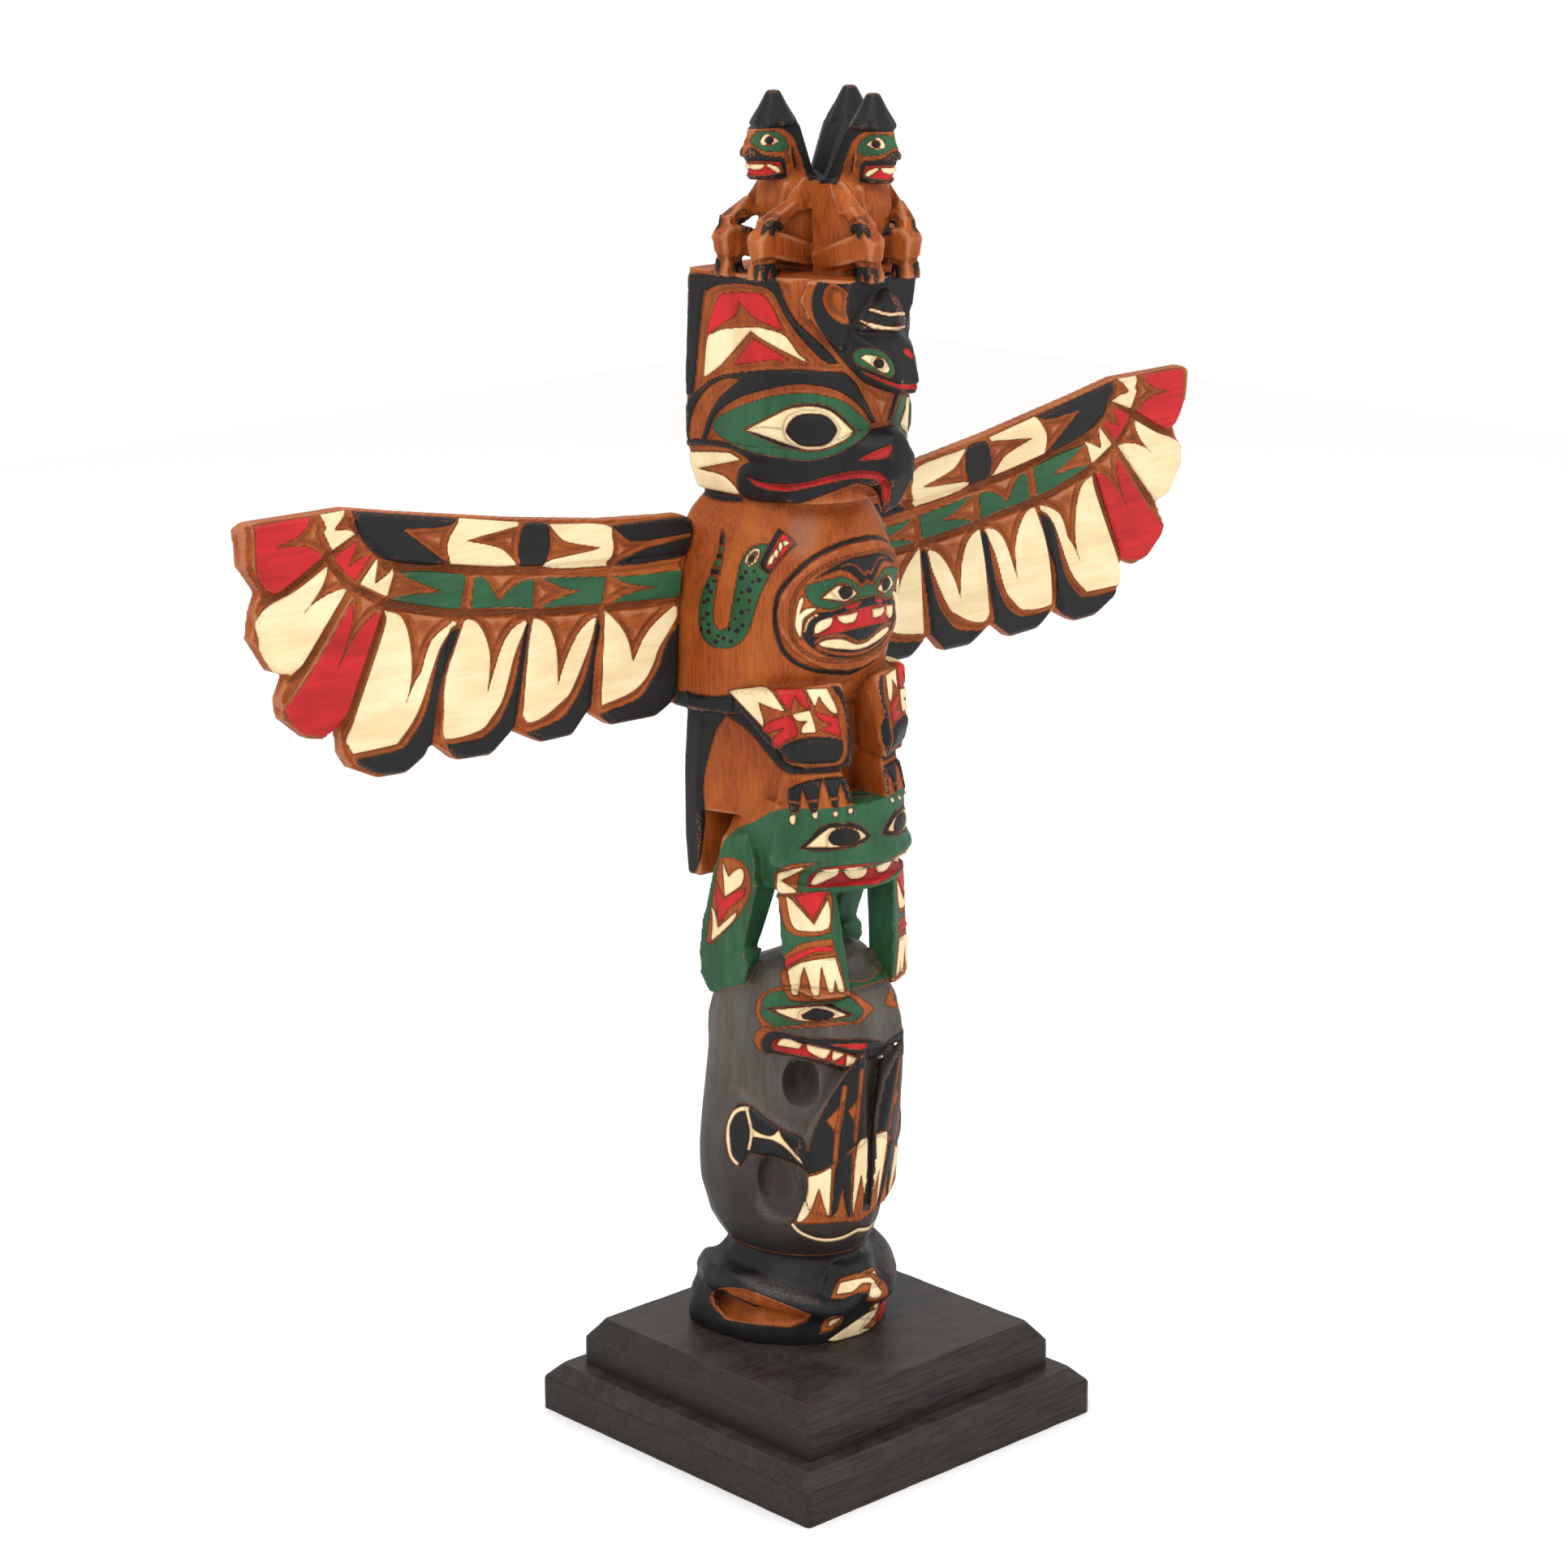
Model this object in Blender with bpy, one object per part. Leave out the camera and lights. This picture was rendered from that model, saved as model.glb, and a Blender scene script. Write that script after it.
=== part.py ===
"""A winged cedar totem pole on a stepped base: two stained boards, one carved pole, two wing boards."""
import math

import bmesh
import bpy
from mathutils import Vector

MM = 0.001

# Gap kept between pieces that touch
SEAT_GAP = 0.3 * MM

# Corners closer than this are one corner
MERGE_DISTANCE = 0.02 * MM

# Faces that meet flatter than this are one knife cut
FLAT_ANGLE = math.radians(0.4)

# Stepped base: two square boards of dressed timber
LOWER_BOARD_SIDE = 305 * MM
UPPER_BOARD_SIDE = 258 * MM
LOWER_BOARD_THICKNESS = 38 * MM
UPPER_BOARD_THICKNESS = 38 * MM
LOWER_CHAMFER_INSET = 10.8 * MM
LOWER_CHAMFER_DROP = 11.1 * MM
UPPER_CHAMFER_INSET = 11.6 * MM
UPPER_CHAMFER_DROP = 15.5 * MM
BOARD_CORNER_RADIUS = 3 * MM
BOARD_CORNER_STEPS = 3

# The pole is one carving, laid out on a grid of POLE_GRID_HEIGHT units from its foot to the hat tips.
# Heights on the grid are read from FOOT_MARK, the mark at which the foot meets the base.
POLE_HEIGHT = 957 * MM
POLE_GRID_HEIGHT = 957.0
FOOT_MARK = 76.0
UNIT = POLE_HEIGHT / POLE_GRID_HEIGHT
SECTION_STEPS = 12
CORNER_STEPS = 2

# Ring on the eagle's belly, laid out on the grid round the middle plane
BELLY_HEIGHT_MARK = 657.0
BELLY_HALF_WIDTH = 61.0
BELLY_HALF_HEIGHT = 50.0
BELLY_STEPS = 22

# Crown on which the watchmen squat, and the points round each hat brim
CROWN_MARK = 902.0
HAT_STEPS = 10

# Wings: boards that butt against the flanks of the eagle's body
WING_LENGTH = 409 * MM
WING_GRID_LENGTH = 409.0
WING_ROOT_MARK = 71.0
WING_BACK = 63.5 * MM
WING_BOARD_THICKNESS = 10.5 * MM
FEATHER_RELIEF = 4.0 * MM
FEATHER_BEVEL = 2.4 * MM
FEATHER_SINK = 1.2 * MM

CEDAR_COLOUR = (0.38, 0.11, 0.04)
PAINTED_CEDAR_COLOUR = (0.30, 0.16, 0.09)
BLACK_STAIN_COLOUR = (0.022, 0.019, 0.018)

BASE_TOP = LOWER_BOARD_THICKNESS + SEAT_GAP + UPPER_BOARD_THICKNESS
POLE_FOOT = BASE_TOP + SEAT_GAP


def clear_scene():
    for item in list(bpy.data.objects):
        bpy.data.objects.remove(item, do_unlink=True)


def finish_material(name, colour, roughness):
    material = bpy.data.materials.new(name)
    material.use_nodes = True
    shader = material.node_tree.nodes["Principled BSDF"]
    shader.inputs["Base Color"].default_value = (*colour, 1.0)
    shader.inputs["Roughness"].default_value = roughness
    shader.inputs["Metallic"].default_value = 0.0
    return material


def add_object(name, mesh, material):
    item = bpy.data.objects.new(name, mesh)
    item.data.materials.clear()
    item.data.materials.append(material)
    bpy.context.scene.collection.objects.link(item)
    return item


def mesh_from_bmesh(name, bm):
    bmesh.ops.recalc_face_normals(bm, faces=bm.faces)
    mesh = bpy.data.meshes.new(name)
    bm.to_mesh(mesh)
    bm.free()
    return mesh


def loft(rings):
    """A closed solid through rings of equal point counts, flat at both ends."""
    bm = bmesh.new()
    loops = [[bm.verts.new(point) for point in ring] for ring in rings]
    for low, high in zip(loops, loops[1:]):
        for i in range(len(low)):
            j = (i + 1) % len(low)
            bm.faces.new((low[i], low[j], high[j], high[i]))
    bm.faces.new(loops[0])
    bm.faces.new(loops[-1])
    return mesh_from_bmesh("loft", bm)


def hull(points):
    """The convex block that a few knife cuts leave between the points."""
    bm = bmesh.new()
    verts = [bm.verts.new(point) for point in points]
    made = bmesh.ops.convex_hull(bm, input=verts, use_existing_faces=False)
    loose = {item for item in made["geom_interior"] + made["geom_unused"]
             if isinstance(item, bmesh.types.BMVert)}
    bmesh.ops.delete(bm, geom=list(loose), context="VERTS")
    return mesh_from_bmesh("hull", bm)


def slab(outline, y_front, y_back, bevel=0.0):
    """A board cut to an outline in X and Z, with an optional bevel round its front face."""
    ring = [Vector((x, 0.0, z)) for x, z in outline]
    rings = [[point + Vector((0.0, y_back, 0.0)) for point in ring]]
    if bevel:
        rings.append([point + Vector((0.0, y_front + bevel, 0.0)) for point in ring])
        ring = inset_outline(ring, bevel)
    rings.append([point + Vector((0.0, y_front, 0.0)) for point in ring])
    return loft(rings)


def inset_outline(ring, amount):
    """Moves each corner of an outline inwards along the mean of its two edges."""
    area = sum(a.x * b.z - b.x * a.z for a, b in zip(ring, ring[1:] + ring[:1]))
    turn = 1.0 if area > 0 else -1.0
    moved = []
    for before, here, after in zip(ring[-1:] + ring[:-1], ring, ring[1:] + ring[:1]):
        first = (here - before).normalized()
        second = (after - here).normalized()
        inward = Vector((-first.z - second.z, 0.0, first.x + second.x)) * turn
        inward.normalize()
        cosine = max(0.5, inward.dot(Vector((-first.z, 0.0, first.x)) * turn))
        moved.append(here + inward * (amount / cosine))
    return moved


def combine(body, others, operation):
    """Joins or cuts the first mesh with the others, by one exact Boolean."""
    group = bpy.data.collections.new("tools")
    bpy.context.scene.collection.children.link(group)
    target = bpy.data.objects.new("target", body)
    bpy.context.scene.collection.objects.link(target)
    for mesh in others:
        group.objects.link(bpy.data.objects.new("tool", mesh))
    modifier = target.modifiers.new("combine", "BOOLEAN")
    modifier.operation = operation
    modifier.operand_type = "COLLECTION"
    modifier.collection = group
    modifier.solver = "EXACT"
    graph = bpy.context.evaluated_depsgraph_get()
    result = bpy.data.meshes.new_from_object(target.evaluated_get(graph), depsgraph=graph)
    for item in list(group.objects) + [target]:
        bpy.data.objects.remove(item, do_unlink=True)
    bpy.data.collections.remove(group)
    return result


def tidy(mesh):
    """Merges doubled corners and the pieces of one flat cut."""
    bm = bmesh.new()
    bm.from_mesh(mesh)
    bmesh.ops.remove_doubles(bm, verts=bm.verts, dist=MERGE_DISTANCE)
    bmesh.ops.dissolve_degenerate(bm, edges=bm.edges, dist=MERGE_DISTANCE)
    bmesh.ops.dissolve_limit(bm, angle_limit=FLAT_ANGLE, verts=bm.verts, edges=bm.edges)
    bmesh.ops.triangulate(bm, faces=bm.faces)
    bm.to_mesh(mesh)
    bm.free()
    return mesh


def at(x, y, z):
    """A point of the carving's grid, in metres."""
    return Vector((x * UNIT, y * UNIT, POLE_FOOT + (z - FOOT_MARK) * UNIT))


def both(points):
    """The points and their mirror images across the pole's middle plane."""
    return [at(sign * x, y, z) for sign in (1, -1) for x, y, z in points]


def pair(points):
    """One block on each side of the pole."""
    return [hull([at(sign * x, y, z) for x, y, z in points]) for sign in (1, -1)]


def section(z, half_width, back, front, corner=6.0, middle=35.0):
    """One level of the log: flat back, rounded back corners, straight flanks, elliptical front."""
    points = []
    for side in (1, -1):
        arc = []
        for i in range(CORNER_STEPS + 1):
            angle = math.pi / 2 * i / CORNER_STEPS
            arc.append((side * (half_width - corner + corner * math.sin(angle)),
                        back - corner + corner * math.cos(angle)))
        if side == 1:
            points += arc
            for i in range(SECTION_STEPS + 1):
                angle = math.pi * i / SECTION_STEPS
                points.append((half_width * math.cos(angle),
                               middle - (middle - front) * math.sin(angle)))
        else:
            points += arc[::-1]
    return [at(x, y, z) for x, y in points]


def stack(levels):
    return loft([section(*level) for level in levels])


def tube(stations, squash=1.0):
    """Rounded bars between stations (x, y, z, radius), one hull for each stretch."""
    blocks = []
    for first, second in zip(stations, stations[1:]):
        points = []
        for x, y, z, radius in (first, second):
            for dx in (-1, 0, 1):
                for dy in (-1, 0, 1):
                    for dz in (-1, 0, 1):
                        if abs(dx) + abs(dy) + abs(dz) == 2:
                            reach = 0.8 * radius
                            points.append((x + dx * reach, y + dy * reach, z + dz * reach * squash))
        blocks += pair(points)
    return blocks


# Levels of each figure: height mark, half width, back, front, corner radius, widest line
CROUCHER_LEVELS = [
    (76, 74, 74, -46, 14, 33), (84, 76, 75, -48, 15, 33), (104, 74, 75, -49, 17, 33),
    (116, 69, 73, -47, 19, 32), (128, 62, 69, -43, 22, 30), (140, 52, 63, -37, 24, 25),
    (148, 49, 59, -34, 25, 20)]
WHALE_LEVELS = [
    (138, 47, 59, -37, 25, 20), (155, 56, 66, -45, 25, 22), (168, 62, 70, -49, 25, 24),
    (195, 69, 72, -54, 22, 26), (222, 70, 72, -55, 22, 26), (249, 67, 72, -54, 22, 26),
    (275, 63, 72, -53, 22, 26), (302, 60, 71, -54, 22, 24), (328, 59, 70, -57, 22, 22),
    (348, 58, 64, -57, 22, 16), (362, 54, 54, -54, 24, 8), (374, 46, 38, -49, 22, 0),
    (384, 34, 16, -42, 16, -8), (389, 20, -6, -34, 10, -18)]
BEAST_HEAD_LEVELS = [
    (444, 57, -16, -67, 4, -22), (450, 59, -16, -70, 4, -22), (451.5, 54, -16, -64, 4, -22),
    (461.5, 54, -16, -65, 4, -22), (463, 62, -16, -74, 4, -22), (470, 64, -16, -77, 4, -22),
    (475, 62, -16, -72, 4, -22), (482, 60, -16, -69, 4, -22), (500, 60, -16, -68, 4, -22),
    (510, 57, -16, -65, 4, -22)]
TAIL_LEVELS = [
    (438, 61, 76, 60, 3, 62), (470, 62, 78, 60, 3, 62), (520, 62, 78, 58, 3, 62),
    (560, 60, 77, 56, 3, 60), (590, 56, 76, 50, 3, 60)]
BODY_LEVELS = [
    (578, 87, 71, -27, 4, 45), (590, 88, 72, -33, 4, 45), (610, 87.5, 72, -43, 4, 45),
    (640, 86, 72, -52, 4, 45), (671, 83, 71, -57, 4, 45), (695, 77, 70, -55, 4, 44),
    (712, 70, 69, -50, 4, 42), (724, 62, 68, -44, 4, 40), (737, 50, 66, -35, 8, 30)]
HEAD_LEVELS = [
    (733, 48, 64, -40, 6, 20), (741, 58, 65, -56, 4, 10), (757, 63, 66, -66, 3, 4),
    (769, 64, 66, -70, 2, 0), (771, 66, 66, -72, 2, 0), (800, 66, 66, -74, 2, 0),
    (830, 65.5, 66, -73, 2, 0), (867, 64, 65.5, -70, 2, 0), (903, 63, 65, -66, 2, 0)]


def level_at(levels, z_mark):
    """The section of a figure at a height mark, between its two nearest levels."""
    for low, high in zip(levels, levels[1:]):
        if z_mark <= high[0]:
            break
    share = min(1.0, max(0.0, (z_mark - low[0]) / (high[0] - low[0])))
    return [a + share * (b - a) for a, b in zip(low, high)]


def on_front(levels, x, z, proud=0.0):
    """A spot on a figure's rounded front at a side distance and height, lifted by proud."""
    _, half_width, _, front, _, middle = level_at(levels, z)
    share = max(-0.98, min(0.98, x / half_width))
    depth = (middle - front) * math.sqrt(1 - share * share)
    slope = Vector((share / half_width, -depth / (middle - front) ** 2)).normalized()
    return x + slope.x * proud, middle - depth + slope.y * proud, z


# Facets round a gouge cut, and the heights of its facets as shares of its own height
SCOOP_STEPS = 12
SCOOP_LIFTS = (-0.8, -0.35, 0.35, 0.8)


def scoop(x, y, z, yaw, long, deep, high):
    """An egg-shaped gouge cut; yaw is the way its shallow side looks, from straight ahead."""
    blocks = []
    for sign in (1, -1):
        turn = sign * math.radians(yaw)
        points = []
        for i in range(SCOOP_STEPS):
            around = 2 * math.pi * i / SCOOP_STEPS
            for lift in SCOOP_LIFTS:
                girth = math.sqrt(1 - lift * lift)
                along = long * girth * math.cos(around)
                ahead = deep * girth * math.sin(around)
                points.append(at(sign * x + along * math.cos(turn) + ahead * math.sin(turn),
                                 y + along * math.sin(turn) - ahead * math.cos(turn),
                                 z + high * lift))
        blocks.append(hull(points))
    return blocks


def body_half_width(z_mark):
    """The flank of the eagle's body at a height mark, where the wing's root edge meets it."""
    return level_at(BODY_LEVELS, z_mark)[1]


def croucher_blocks():
    """Tail that curls round the flank to the front, and the snout of the crouching creature."""
    tail = tube([(52, 60, 121, 14), (65, 40, 122, 13), (67, 14, 121, 12.5), (62, -6, 117, 12),
                 (53, -21, 113, 11), (42, -34, 109, 10), (30, -44, 106, 9), (17, -50, 106, 7.5),
                 (6, -53, 111, 5.5), (2, -54, 119, 2)])
    snout = hull(both([(24, -38, 140), (32, -40, 120), (27, -46, 100), (13, -50, 128), (7, -53, 104),
                       (10, -48, 136)]))
    return tail + [snout]


def croucher_hollows():
    """The long bare slot under the curled tail."""
    return scoop(70, 8, 103, -82, 46, 9, 12)


def whale_blocks():
    """Upper lip, mouth band and the two fins folded up the whale's chest."""
    lip = hull(both([(59, 4, 338), (60, 2, 330), (52, -28, 327), (30, -62, 322), (22, -73, 319),
                     (20, -77, 324), (16, -80, 331), (24, -70, 340), (18, -72, 350), (16, -66, 362),
                     (40, -42, 352), (54, -20, 350), (46, -16, 366), (20, -46, 376)]))
    mouth = hull(both([(57, 2, 332), (56, 0, 316), (46, -30, 310), (26, -60, 306), (20, -66, 312),
                       (20, -68, 330), (28, -62, 334), (50, -28, 334)]))
    fin = pair([(50, -38, 200), (46, -42, 188), (26, -51, 181), (4, -57, 180), (55, -34, 222),
                (55, -36, 240), (50, -45, 262), (36, -60, 290), (24, -73, 316), (21, -76, 323),
                (17, -74, 314), (8, -66, 288), (4, -62, 262), (8, -60, 250), (4, -61, 240),
                (3, -60, 200), (8, -48, 200), (14, -58, 300), (40, -32, 240), (20, -52, 300)])
    return [lip, mouth] + fin


def whale_hollows():
    """Scoops under the mouth and under the cheek ridge."""
    return (scoop(46, -36, 290, -50, 40, 13, 21) + scoop(62, -24, 213, -66, 27, 11, 24))


def beast_blocks():
    """Trunk, haunches and four legs of the green beast that stands over the whale."""
    trunk = hull(both([(48, 50, 450), (44, 50, 440), (50, 20, 439), (52, -20, 442), (46, -30, 440),
                       (50, 46, 468), (44, 44, 484), (53, 6, 490), (54, -20, 506), (50, -10, 508),
                       (30, 40, 505), (54, -24, 480)]))
    haunch = pair([(61, 36, 474), (59, 12, 480), (63, 42, 450), (62, 0, 444), (46, 40, 484),
                   (44, 10, 486), (36, 40, 440), (36, 2, 438), (60, 2, 462)])
    hind_shin = pair([(63, 44, 452), (62, -3, 446), (64, 57, 404), (60, 12, 402), (64, 61, 376),
                      (36, 40, 446), (38, 0, 440), (38, 52, 404), (38, 16, 402), (40, 58, 376),
                      (60, 20, 376), (42, 24, 376)])
    hind_foot = pair([(62, 62, 380), (60, 14, 391), (63, 12, 386), (61, 9, 377), (64, 60, 362),
                      (62, 52, 348), (46, 56, 344), (40, 58, 380), (42, 12, 388), (58, 16, 362),
                      (46, 34, 346)])
    fore_leg = pair([(57, -18, 446), (52, -44, 446), (30, -56, 446), (26, -30, 446), (54, -24, 404),
                     (48, -48, 404), (27, -59, 404), (27, -34, 404), (56, -22, 398), (50, -50, 396),
                     (26, -62, 396), (52, -28, 368), (46, -53, 362), (22, -64, 362),
                     (24, -36, 372)])
    return [trunk] + haunch + hind_shin + hind_foot + fore_leg


def eagle_leg_blocks():
    """Core between tail and legs, feathered thighs, and four-toed feet in front of it."""
    core = hull(both([(59, 60, 490), (46, 20, 490), (26, -20, 490), (59, 60, 590), (54, 20, 596),
                      (36, -22, 596)]))
    thigh = pair([(80, 6, 597), (79, 2, 588), (76, -14, 597), (60, -36, 600), (18, -50, 602),
                  (14, -44, 588), (62, -34, 580), (20, -59, 574), (14, -56, 556), (50, -50, 560),
                  (54, -34, 545), (50, -44, 540), (22, -62, 552), (18, -59, 540), (20, -30, 540),
                  (64, -18, 558), (50, 0, 580), (20, -20, 590)])
    foot = pair([(47, -28, 542), (44, -42, 541), (22, -50, 541), (22, -20, 542), (44, -14, 542),
                 (51, -36, 525), (42, -50, 525), (19, -57, 525), (58, -34, 506), (57, -28, 503),
                 (46, -52, 505), (17, -63, 504), (18, -20, 502), (50, -10, 503)])
    return [core] + thigh + foot


# Rings of the belly disc, from the hidden back to its middle: share of the half sizes, lift off the body
BELLY_RINGS = [(0.4, -9), (0.99, -7), (1.0, 2.5), (0.97, 3.5), (0.83, 3.5), (0.79, 1.2), (0.5, 1.8),
               (0.2, 2.4)]


def belly_disc():
    """The raised ring round the face on the eagle's belly, with a shallow dish in it."""
    rings = []
    for share, proud in BELLY_RINGS:
        ring = []
        for i in range(BELLY_STEPS):
            angle = 2 * math.pi * i / BELLY_STEPS
            x = BELLY_HALF_WIDTH * share * math.cos(angle)
            z = BELLY_HEIGHT_MARK + BELLY_HALF_HEIGHT * share * math.sin(angle)
            ring.append(at(*on_front(BODY_LEVELS, x, z, proud)))
        rings.append(ring)
    return loft(rings)


def beak_blocks():
    """Beak with its down-turned hook, and the lower jaw."""
    root = hull(both([(36, -46, 748), (38, -50, 778), (30, -60, 788), (24, -66, 750), (8, -62, 791),
                      (4, -80, 794), (14, -84, 784), (14, -82, 756), (4, -90, 790), (10, -96, 774),
                      (10, -94, 758), (4, -98, 776), (4, -98, 764)]))
    hook = hull(both([(10, -96, 774), (10, -95, 758), (8, -88, 745), (4, -98, 764), (5, -84, 737),
                      (3, -75, 731), (4, -73, 738), (7, -76, 750), (9, -72, 762)]))
    jaw = hull(both([(59, 2, 757), (52, -30, 739), (40, -46, 738), (22, -60, 739), (8, -67, 741),
                     (10, -72, 750), (30, -62, 757), (52, -34, 757), (30, -20, 736)]))
    return [root, hook, jaw]


def crest_animal_blocks():
    """The dark animal's head on the eagle's crown: block, ears, snout and ringed crest."""
    block = hull(both([(34, -75, 903), (45, -44, 903), (34, -72, 884), (44, -45, 884),
                       (27, -68, 862), (38, -50, 850), (28, -64, 842)]))
    ear_marks = [(46, 902), (50, 888), (47, 874), (40, 862), (30, 850), (34, 902), (30, 876)]
    ear = []
    for sign in (1, -1):
        lifted = [at(sign * x, y, z) for mark_x, mark_z in ear_marks for proud in (-8, 5)
                  for x, y, z in (on_front(HEAD_LEVELS, mark_x, mark_z, proud),)]
        ear.append(hull(lifted))
    snout = hull(both([(27, -64, 866), (28, -60, 848), (24, -64, 834), (20, -83, 856),
                       (18, -85, 830), (11, -94, 852), (8, -101, 838), (8, -104, 829),
                       (6, -102, 821), (14, -80, 823), (5, -78, 868), (4, -99, 845)]))
    crest = hull(both([(25, -70, 868), (22, -66, 872), (3, -85, 865), (20, -60, 880), (4, -77, 893),
                       (3, -70, 894)]))
    return [block] + ear + [snout, crest]


def turned(points, origin, angle):
    """Places a figure's own points (sideways, forward, up) on the crown, facing an angle."""
    forward = Vector((math.sin(angle), -math.cos(angle)))
    across = Vector((math.cos(angle), math.sin(angle)))
    placed = []
    for side, ahead, up in points:
        spot = Vector(origin) + across * side + forward * ahead
        placed.append(at(spot.x, spot.y, CROWN_MARK + up))
    return placed


# Each watchman: where its back stands, the way it faces, hat centre ahead of the back, reach of the knees
WATCHMEN = [((0, -22), 0.0, 42, 25), ((2, 6), -math.pi / 2, 34, 38), ((-2, -6), math.pi / 2, 35, 36)]
# Tall hat with a thin brim: height above the crown, radius ahead, radius to the sides
HAT_LEVELS = [(105, 13, 12), (107, 18.5, 17), (110, 17.5, 16), (120, 11, 10), (129, 6, 5.6),
              (131, 4.4, 4.2)]


def watchman_blocks(origin, angle, hat, reach):
    """One squatting watchman with hands on knees, long hair and a tall brimmed hat."""
    knee = hat + reach
    blocks = []

    def block(points, mirror=True):
        spread = [(sign * s, f, u) for sign in ((1, -1) if mirror else (1,)) for s, f, u in points]
        blocks.append(hull(turned(spread, origin, angle)))

    def each_side(points):
        for sign in (1, -1):
            blocks.append(hull(turned([(sign * s, f, u) for s, f, u in points], origin, angle)))

    block([(13, -2, -2), (23, 4, 0), (25, 6, 26), (21, 0, 50), (13, -3, 66), (10, hat - 20, 76),
           (20, hat - 16, 70), (22, hat - 6, 60), (14, hat + 2, 66), (13, hat + 6, 50),
           (10, hat + 3, 26), (12, hat - 4, 8), (20, hat - 14, 4)])
    each_side([(22, hat - 24, 70), (26, hat - 16, 60), (21, hat - 8, 70), (15, hat - 16, 60),
               (26, hat - 10, 46), (27, hat + 3, 48), (20, hat + 8, 54), (17, hat - 6, 42)])
    each_side([(25, hat - 8, 50), (27, hat + 4, 53), (19, hat + 8, 54), (17, hat - 4, 42),
               (25, knee - 17, 42), (26, knee - 8, 41), (14, knee - 7, 41), (15, knee - 17, 44),
               (25, knee - 14, 33), (15, knee - 14, 33)])
    each_side([(24, knee - 17, 40), (25, knee - 8, 40), (14, knee - 7, 40), (15, knee - 16, 41),
               (24, knee - 14, 29), (24, knee - 4, 27), (15, knee - 4, 27), (16, knee - 14, 28)])
    each_side([(23, 4, 2), (26, 4, 16), (12, 4, 2), (14, 6, 22), (26, knee - 14, 34),
               (26, knee - 14, 14), (11, knee - 14, 35), (11, knee - 14, 14)])
    each_side([(26, knee - 19, 33), (27, knee - 3, 31), (25, knee - 8, 36), (10, knee - 19, 33),
               (11, knee - 2, 31), (12, knee - 8, 36), (25, knee - 2, 15), (12, knee - 2, 15),
               (25, knee - 19, 15), (12, knee - 19, 15), (26, knee, 27), (12, knee, 27)])
    each_side([(23, knee - 18, 16), (23, knee - 4, 16), (13, knee - 18, 16), (13, knee - 4, 16),
               (25, knee - 1, -1), (11, knee - 1, -1), (23, knee - 20, -1), (12, knee - 20, -1),
               (25, knee - 1, 4), (11, knee - 1, 4)])
    nose = hat + min(reach, 30)
    block([(10, hat - 14, 106), (14, hat - 2, 106), (9, hat + 12, 107), (14, hat - 4, 86),
           (10, hat - 12, 69), (9, hat + 7, 68), (3, nose - 8, 69), (3, nose - 8, 106),
           (6, nose - 8, 77), (9, nose - 12, 90), (2, nose - 5, 98)])
    block([(7, nose - 10, 96), (3, nose - 3, 93), (5, nose - 2, 88), (2.5, nose, 86),
           (8, nose - 9, 85), (4, nose - 6, 97)])
    block([(13, hat - 2, 107), (15, hat - 10, 92), (13, hat - 14, 106), (7, hat - 18, 105),
           (15, hat - 16, 76), (12, hat - 26, 68), (7, 0, 64), (14, 4, 62), (6, hat - 24, 84)])
    rings = []
    for height, radius_ahead, radius_side in HAT_LEVELS:
        ring = []
        for i in range(HAT_STEPS):
            around = 2 * math.pi * i / HAT_STEPS
            ring.append((radius_side * math.sin(around), hat + radius_ahead * math.cos(around), height))
        rings.append(turned(ring, origin, angle))
    blocks.append(loft(rings))
    return blocks


def carved_pole():
    lower = combine(stack(CROUCHER_LEVELS), [stack(WHALE_LEVELS)], "UNION")
    lower = combine(lower, whale_hollows() + croucher_hollows(), "DIFFERENCE")
    added = whale_blocks() + croucher_blocks() + beast_blocks() + eagle_leg_blocks()
    added += [stack(levels) for levels in (BEAST_HEAD_LEVELS, TAIL_LEVELS, BODY_LEVELS, HEAD_LEVELS)]
    added += [belly_disc()] + beak_blocks() + crest_animal_blocks()
    for origin, angle, hat, reach in WATCHMEN:
        added += watchman_blocks(origin, angle, hat, reach)
    return tidy(combine(lower, added, "UNION"))


def wing_point(u, z, side):
    """A mark on the wing's own grid: distance from the pole's axis and height."""
    root = WING_ROOT_MARK * UNIT
    x = root + (u - WING_ROOT_MARK) * WING_LENGTH / WING_GRID_LENGTH
    return side * x, POLE_FOOT + (z - FOOT_MARK) * UNIT


def root_edge(low, high):
    """Marks up the wing's root, a seat gap off the flank of the body."""
    marks = [low] + [level[0] for level in BODY_LEVELS if low < level[0] < high] + [high]
    gap = SEAT_GAP / UNIT
    return [(body_half_width(z) + gap, z) for z in marks]


# Feather tips below the green band, from the wrist towards the body; each list runs round the feather
FEATHERS = [
    [(390, 768), (471, 770), (478, 766), (476, 742), (462, 722), (451, 720), (412, 739), (384, 753)],
    [(410, 737), (448, 716), (470, 707), (471, 690), (457, 668), (446, 663), (434, 666), (392, 716)],
    [(390, 715), (434, 662), (452, 642), (448, 632), (430, 616), (416, 613), (397, 626), (362, 697)],
    [(360, 697), (396, 622), (398, 598), (392, 588), (370, 577), (346, 576), (330, 585), (322, 600),
     (302, 682)],
    [(300, 681), (320, 600), (322, 590), (300, 577), (270, 575), (249, 590), (248, 600), (233, 671)],
    [(231, 670), (248, 600), (249, 590), (222, 576), (194, 576), (178, 592), (177, 602), (166, 665)],
    [(164, 664), (176, 602), (177, 592), (155, 577), (112, 576), (98, 583), (92, 600), (90, 661)]]
LEADING_EDGE = [(391, 768), (345, 759), (300, 751), (240, 740), (160, 728), (105, 723), (84, 722),
                (76, 718), (74, 710), (76, 697), (100, 695), (160, 700), (230, 706), (300, 717),
                (352, 728), (376, 748)]
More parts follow.
